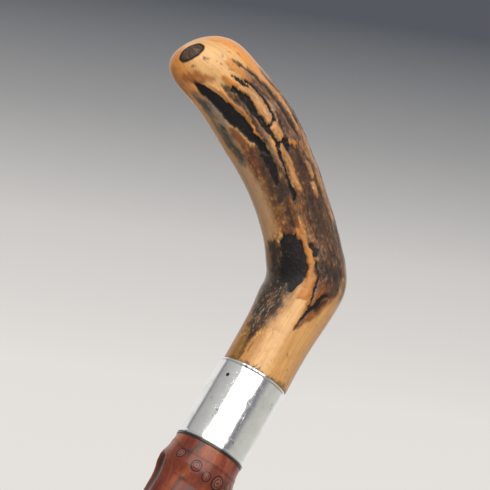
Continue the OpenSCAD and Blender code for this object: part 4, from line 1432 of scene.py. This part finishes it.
def bambooMaterial():
    material, wiring, shader = newMaterial("lacqueredBamboo")
    shader.inputs["Coat Roughness"].default_value = 0.1
    shader.inputs["Specular IOR Level"].default_value = 0.25
    place = wiring.objectPlace()
    groove = wiring.attribute("bambooGroove", "Fac")
    scar = wiring.attribute("bambooScar", "Fac")
    eye = wiring.attribute("bambooEye", "Fac")
    node = wiring.attribute("bambooNode", "Fac")
    fibres = wiring.group("growthFibres", Vector=wiring.upright(place), Fineness=1700.0, Contrast=0.9)
    cloud = wiring.noise(wiring.stretched(place, (1, 1, 0.45)), 95.0, 5.0, 0.6, 0.5)
    tone = wiring.ramp(cloud, [(0.32, (0.085, 0.014, 0.008)), (0.45, (0.200, 0.036, 0.016)),
                               (0.56, (0.33, 0.078, 0.030)), (0.68, (0.46, 0.150, 0.040))])
    tinted = wiring.node("ShaderNodeHueSaturation")
    wiring.feed(tinted.inputs["Color"], tone)
    wiring.feed(tinted.inputs["Value"], wiring.plus(1.0, fibres["Streaks"]))
    # darker around the nodes, dark green-black smudges, and painted shade in the bottom of each groove
    smudge = wiring.noise(wiring.stretched(place, (1, 1, 0.7)), 210.0, 3.0, 0.6, 1.2)
    smudgeShare = wiring.times(wiring.remap(smudge, 0.62, 0.68), 0.5)
    tone = wiring.blend(smudgeShare, tinted.outputs[0], (0.055, 0.050, 0.036))
    drawn = wiring.times(wiring.attribute("bambooSmudge", "Fac"), 0.75)
    tone = wiring.blend(drawn, tone, (0.050, 0.040, 0.032))
    tone = wiring.blend(wiring.times(node, 0.25), tone, (0.115, 0.024, 0.014))
    # painted shade: each groove darkened with its depth
    tone = wiring.blend(wiring.remap(groove, 0.12, 0.75, 0.0, 0.9), tone, (0.030, 0.012, 0.008))
    tone = wiring.blend(wiring.times(scar, 0.6), tone, (0.035, 0.010, 0.007))
    # root eyes: concentric rings, dark rim and pale middle
    wobble = wiring.times(wiring.minus(wiring.noise(place, 900.0, 2.0), 0.5), 0.16)
    ringPlace = wiring.plus(eye, wobble)
    rings = wiring.ramp(ringPlace, [
        (place, (pale,) * 3) for place, pale in
        ((0.0, 0.05), (0.12, 0.10), (0.27, 0.85), (0.42, 0.75), (0.54, 0.02), (0.66, 0.55), (0.78, 0.60),
         (0.92, 0.0), (1.0, 0.0))])
    inside = wiring.remap(ringPlace, 1.0, 1.15, 1.0, 0.0)
    eyeTone = wiring.blend(rings, (0.012, 0.003, 0.003), (0.36, 0.115, 0.075))
    tone = wiring.blend(wiring.times(inside, 0.95), tone, eyeTone)
    drawnOut = wiring.stretched(place, (1, 1, 0.3))
    flecks = wiring.group("scatteredPores", Vector=drawnOut, Size=950.0, Amount=0.5)
    tone = wiring.blend(wiring.times(flecks["Pores"], 0.5), tone, (0.05, 0.014, 0.01))
    wiring.feed(shader.inputs["Base Color"], tone)
    wiring.feed(shader.inputs["Roughness"], wiring.remap(fibres["Height"], 0.3, 0.7, 0.30, 0.46))
    wiring.feed(shader.inputs["Coat Weight"], wiring.remap(groove, 0.1, 0.6, 0.34, 0.2))
    relief = wiring.plus(wiring.times(fibres["Height"], 0.25),
                          wiring.times(wiring.times(rings, inside), 0.5))
    relief = wiring.minus(relief, wiring.times(flecks["Pores"], 0.3))
    wiring.feed(shader.inputs["Normal"], wiring.bump(relief, 0.08 * mm, 0.6))
    return material


bambooShaft = spunPiece("bambooShaft", bambooProfile(), bamboo["around"], closed=False)
carveBamboo(bambooShaft)
settle(bambooShaft, bambooMaterial(), ["bamboo_shaft"], sharp=50)
print("bamboo made,", len(bambooShaft.data.polygons), "faces")

# Ferrule, iron tip and pins at the foot of the cane

ferrule = {
    "radius": 9.4, "inner": 8.5, "rows": 26, "around": 128, "round": 0.35,
    "lineDepth": 0.14, "lineHalf": 0.22, "pin": (0.78, 3.8, 9.36, 0.18, 3), "pinDrop": 6.0,
}


def ferruleProfile():
    low, high = ferruleLow.z / mm, ferruleHigh.z / mm
    r, c, inner = ferrule["radius"], ferrule["round"], ferrule["inner"]
    half = ferrule["lineHalf"]
    wall = [(r, z) for z in np.linspace(low + 0.8, high - 0.8, ferrule["rows"])]
    for line in (low + 1.6, low + 2.2, high - 2.4, high - 1.8):
        wall += [(r, line - half), (r - ferrule["lineDepth"], line), (r, line + half)]
    wall.sort(key=lambda point: point[1])
    foot = [(r - c, low), (r - 0.1, low + 0.1), (r, low + c)]
    head = [(r, high - c), (r - 0.1, high - 0.1), (r - c, high)]
    outline = foot + wall + head + [(inner, high), (inner, low)]
    return [(a * mm, b * mm) for a, b in outline]


brassFerrule = spunPiece("brassFerrule", ferruleProfile(), ferrule["around"])
ferrulePlaces = vertexPlaces(brassFerrule) / mm
ferruleNoise = SoftNoise(41)
knocks = 0.06 * ferruleNoise.at(ferrulePlaces, 6.0, 2)
knocks -= 0.08 * smoothStep(0.3, 0.7, ferruleNoise.at(ferrulePlaces + 60, 3.0, 2))
outerWall = smoothStep(9.0, 9.3, np.hypot(*ferrulePlaces[:, :2].T))
shapeByWeights(brassFerrule, np.clip(knocks, -0.2, 0.02) * outerWall, 0.3)
wornBrass = metalMaterial("wornBrass", (0.66, 0.45, 0.17), (0.22, 0.13, 0.06), 0.27, 0.75, 0.9, 0.6, 0.9)
settle(brassFerrule, wornBrass, ["ferrule"], sharp=40)

for side, bearing in (("Front", -90), ("Back", 90)):
    makePin("ferrulePin" + side, ferrule["pin"], math.radians(bearing),
            ferruleHigh.z - ferrule["pinDrop"] * mm, wornBrass, "ferrule_pins")


def tipProfile():
    top, r = ferruleLow.z / mm, ferrule["radius"]
    wall = [(0, 0.0), (3.0, 0.0), (6.2, 0.04), (7.6, 0.16), (8.5, 0.5), (9.05, 1.0), (9.3, 1.6),
            (r - 0.02, 2.3), (r, 3.2), (r, 4.5), (r - 0.06, 4.8), (r - 0.3, top), (8.4, top), (8.4, 11.0),
            (2.9, 11.0), (2.9, 32.0), (0, 34.9)]
    return [(a * mm, b * mm) for a, b in wall]


ironTip = spunPiece("ironTip", tipProfile(), 96, closed=False)
applyModifier(ironTip, "BEVEL", width=0.1 * mm, segments=2, limit_method="ANGLE",
              angle_limit=math.radians(50))
tipPlaces = vertexPlaces(ironTip) / mm
tipWear = SoftNoise(47).at(tipPlaces, 3.2, 3)
wornBand = smoothStep(9.35, 8.9, 11.3 - np.abs(tipPlaces[:, 2] - 2.4))
shapeByWeights(ironTip, -0.16 * smoothStep(0.1, 0.7, tipWear) * wornBand, 0.3)
wornIron = metalMaterial("wornIron", (0.26, 0.25, 0.24), (0.12, 0.055, 0.03), 0.42, 0.9, 1.0, 0.8, 1.4)
settle(ironTip, wornIron, ["ferrule_tip"], sharp=40)
print("ferrule, tip and pins made")

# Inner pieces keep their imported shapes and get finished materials


def hardwoodMaterial():
    material, wiring, shader = newMaterial("bareHardwood")
    place = wiring.objectPlace()
    fibres = wiring.group("growthFibres", Vector=wiring.upright(place), Fineness=900.0, Contrast=1.4)
    share = wiring.remap(fibres["Streaks"], -0.35, 0.35)
    drawnOut = wiring.stretched(place, (1, 1, 0.12))
    pores = wiring.group("scatteredPores", Vector=drawnOut, Size=1600.0, Amount=0.7)
    tone = wiring.blend(share, (0.20, 0.095, 0.04), (0.42, 0.24, 0.115))
    tone = wiring.blend(wiring.times(pores["Pores"], 0.6), tone, (0.07, 0.03, 0.015))
    wiring.feed(shader.inputs["Base Color"], tone)
    wiring.feed(shader.inputs["Roughness"], wiring.remap(fibres["Height"], 0.3, 0.7, 0.5, 0.72))
    wiring.feed(shader.inputs["Normal"], wiring.bump(fibres["Height"], 0.1 * mm, 0.5))
    return material


def refinish(node, material):
    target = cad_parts[node]
    target.data.materials.clear()
    target.data.materials.append(material)


hardwood = hardwoodMaterial()
refinish("hardwood_bush", hardwood)
refinish("tip_plug", hardwood)
plainSteel = metalMaterial("plainSteel", (0.50, 0.50, 0.49), (0.20, 0.17, 0.14), 0.30, 0.5, 0.8, 0.5, 1.6)
refinish("joining_rod", plainSteel)
print("inner pieces finished")
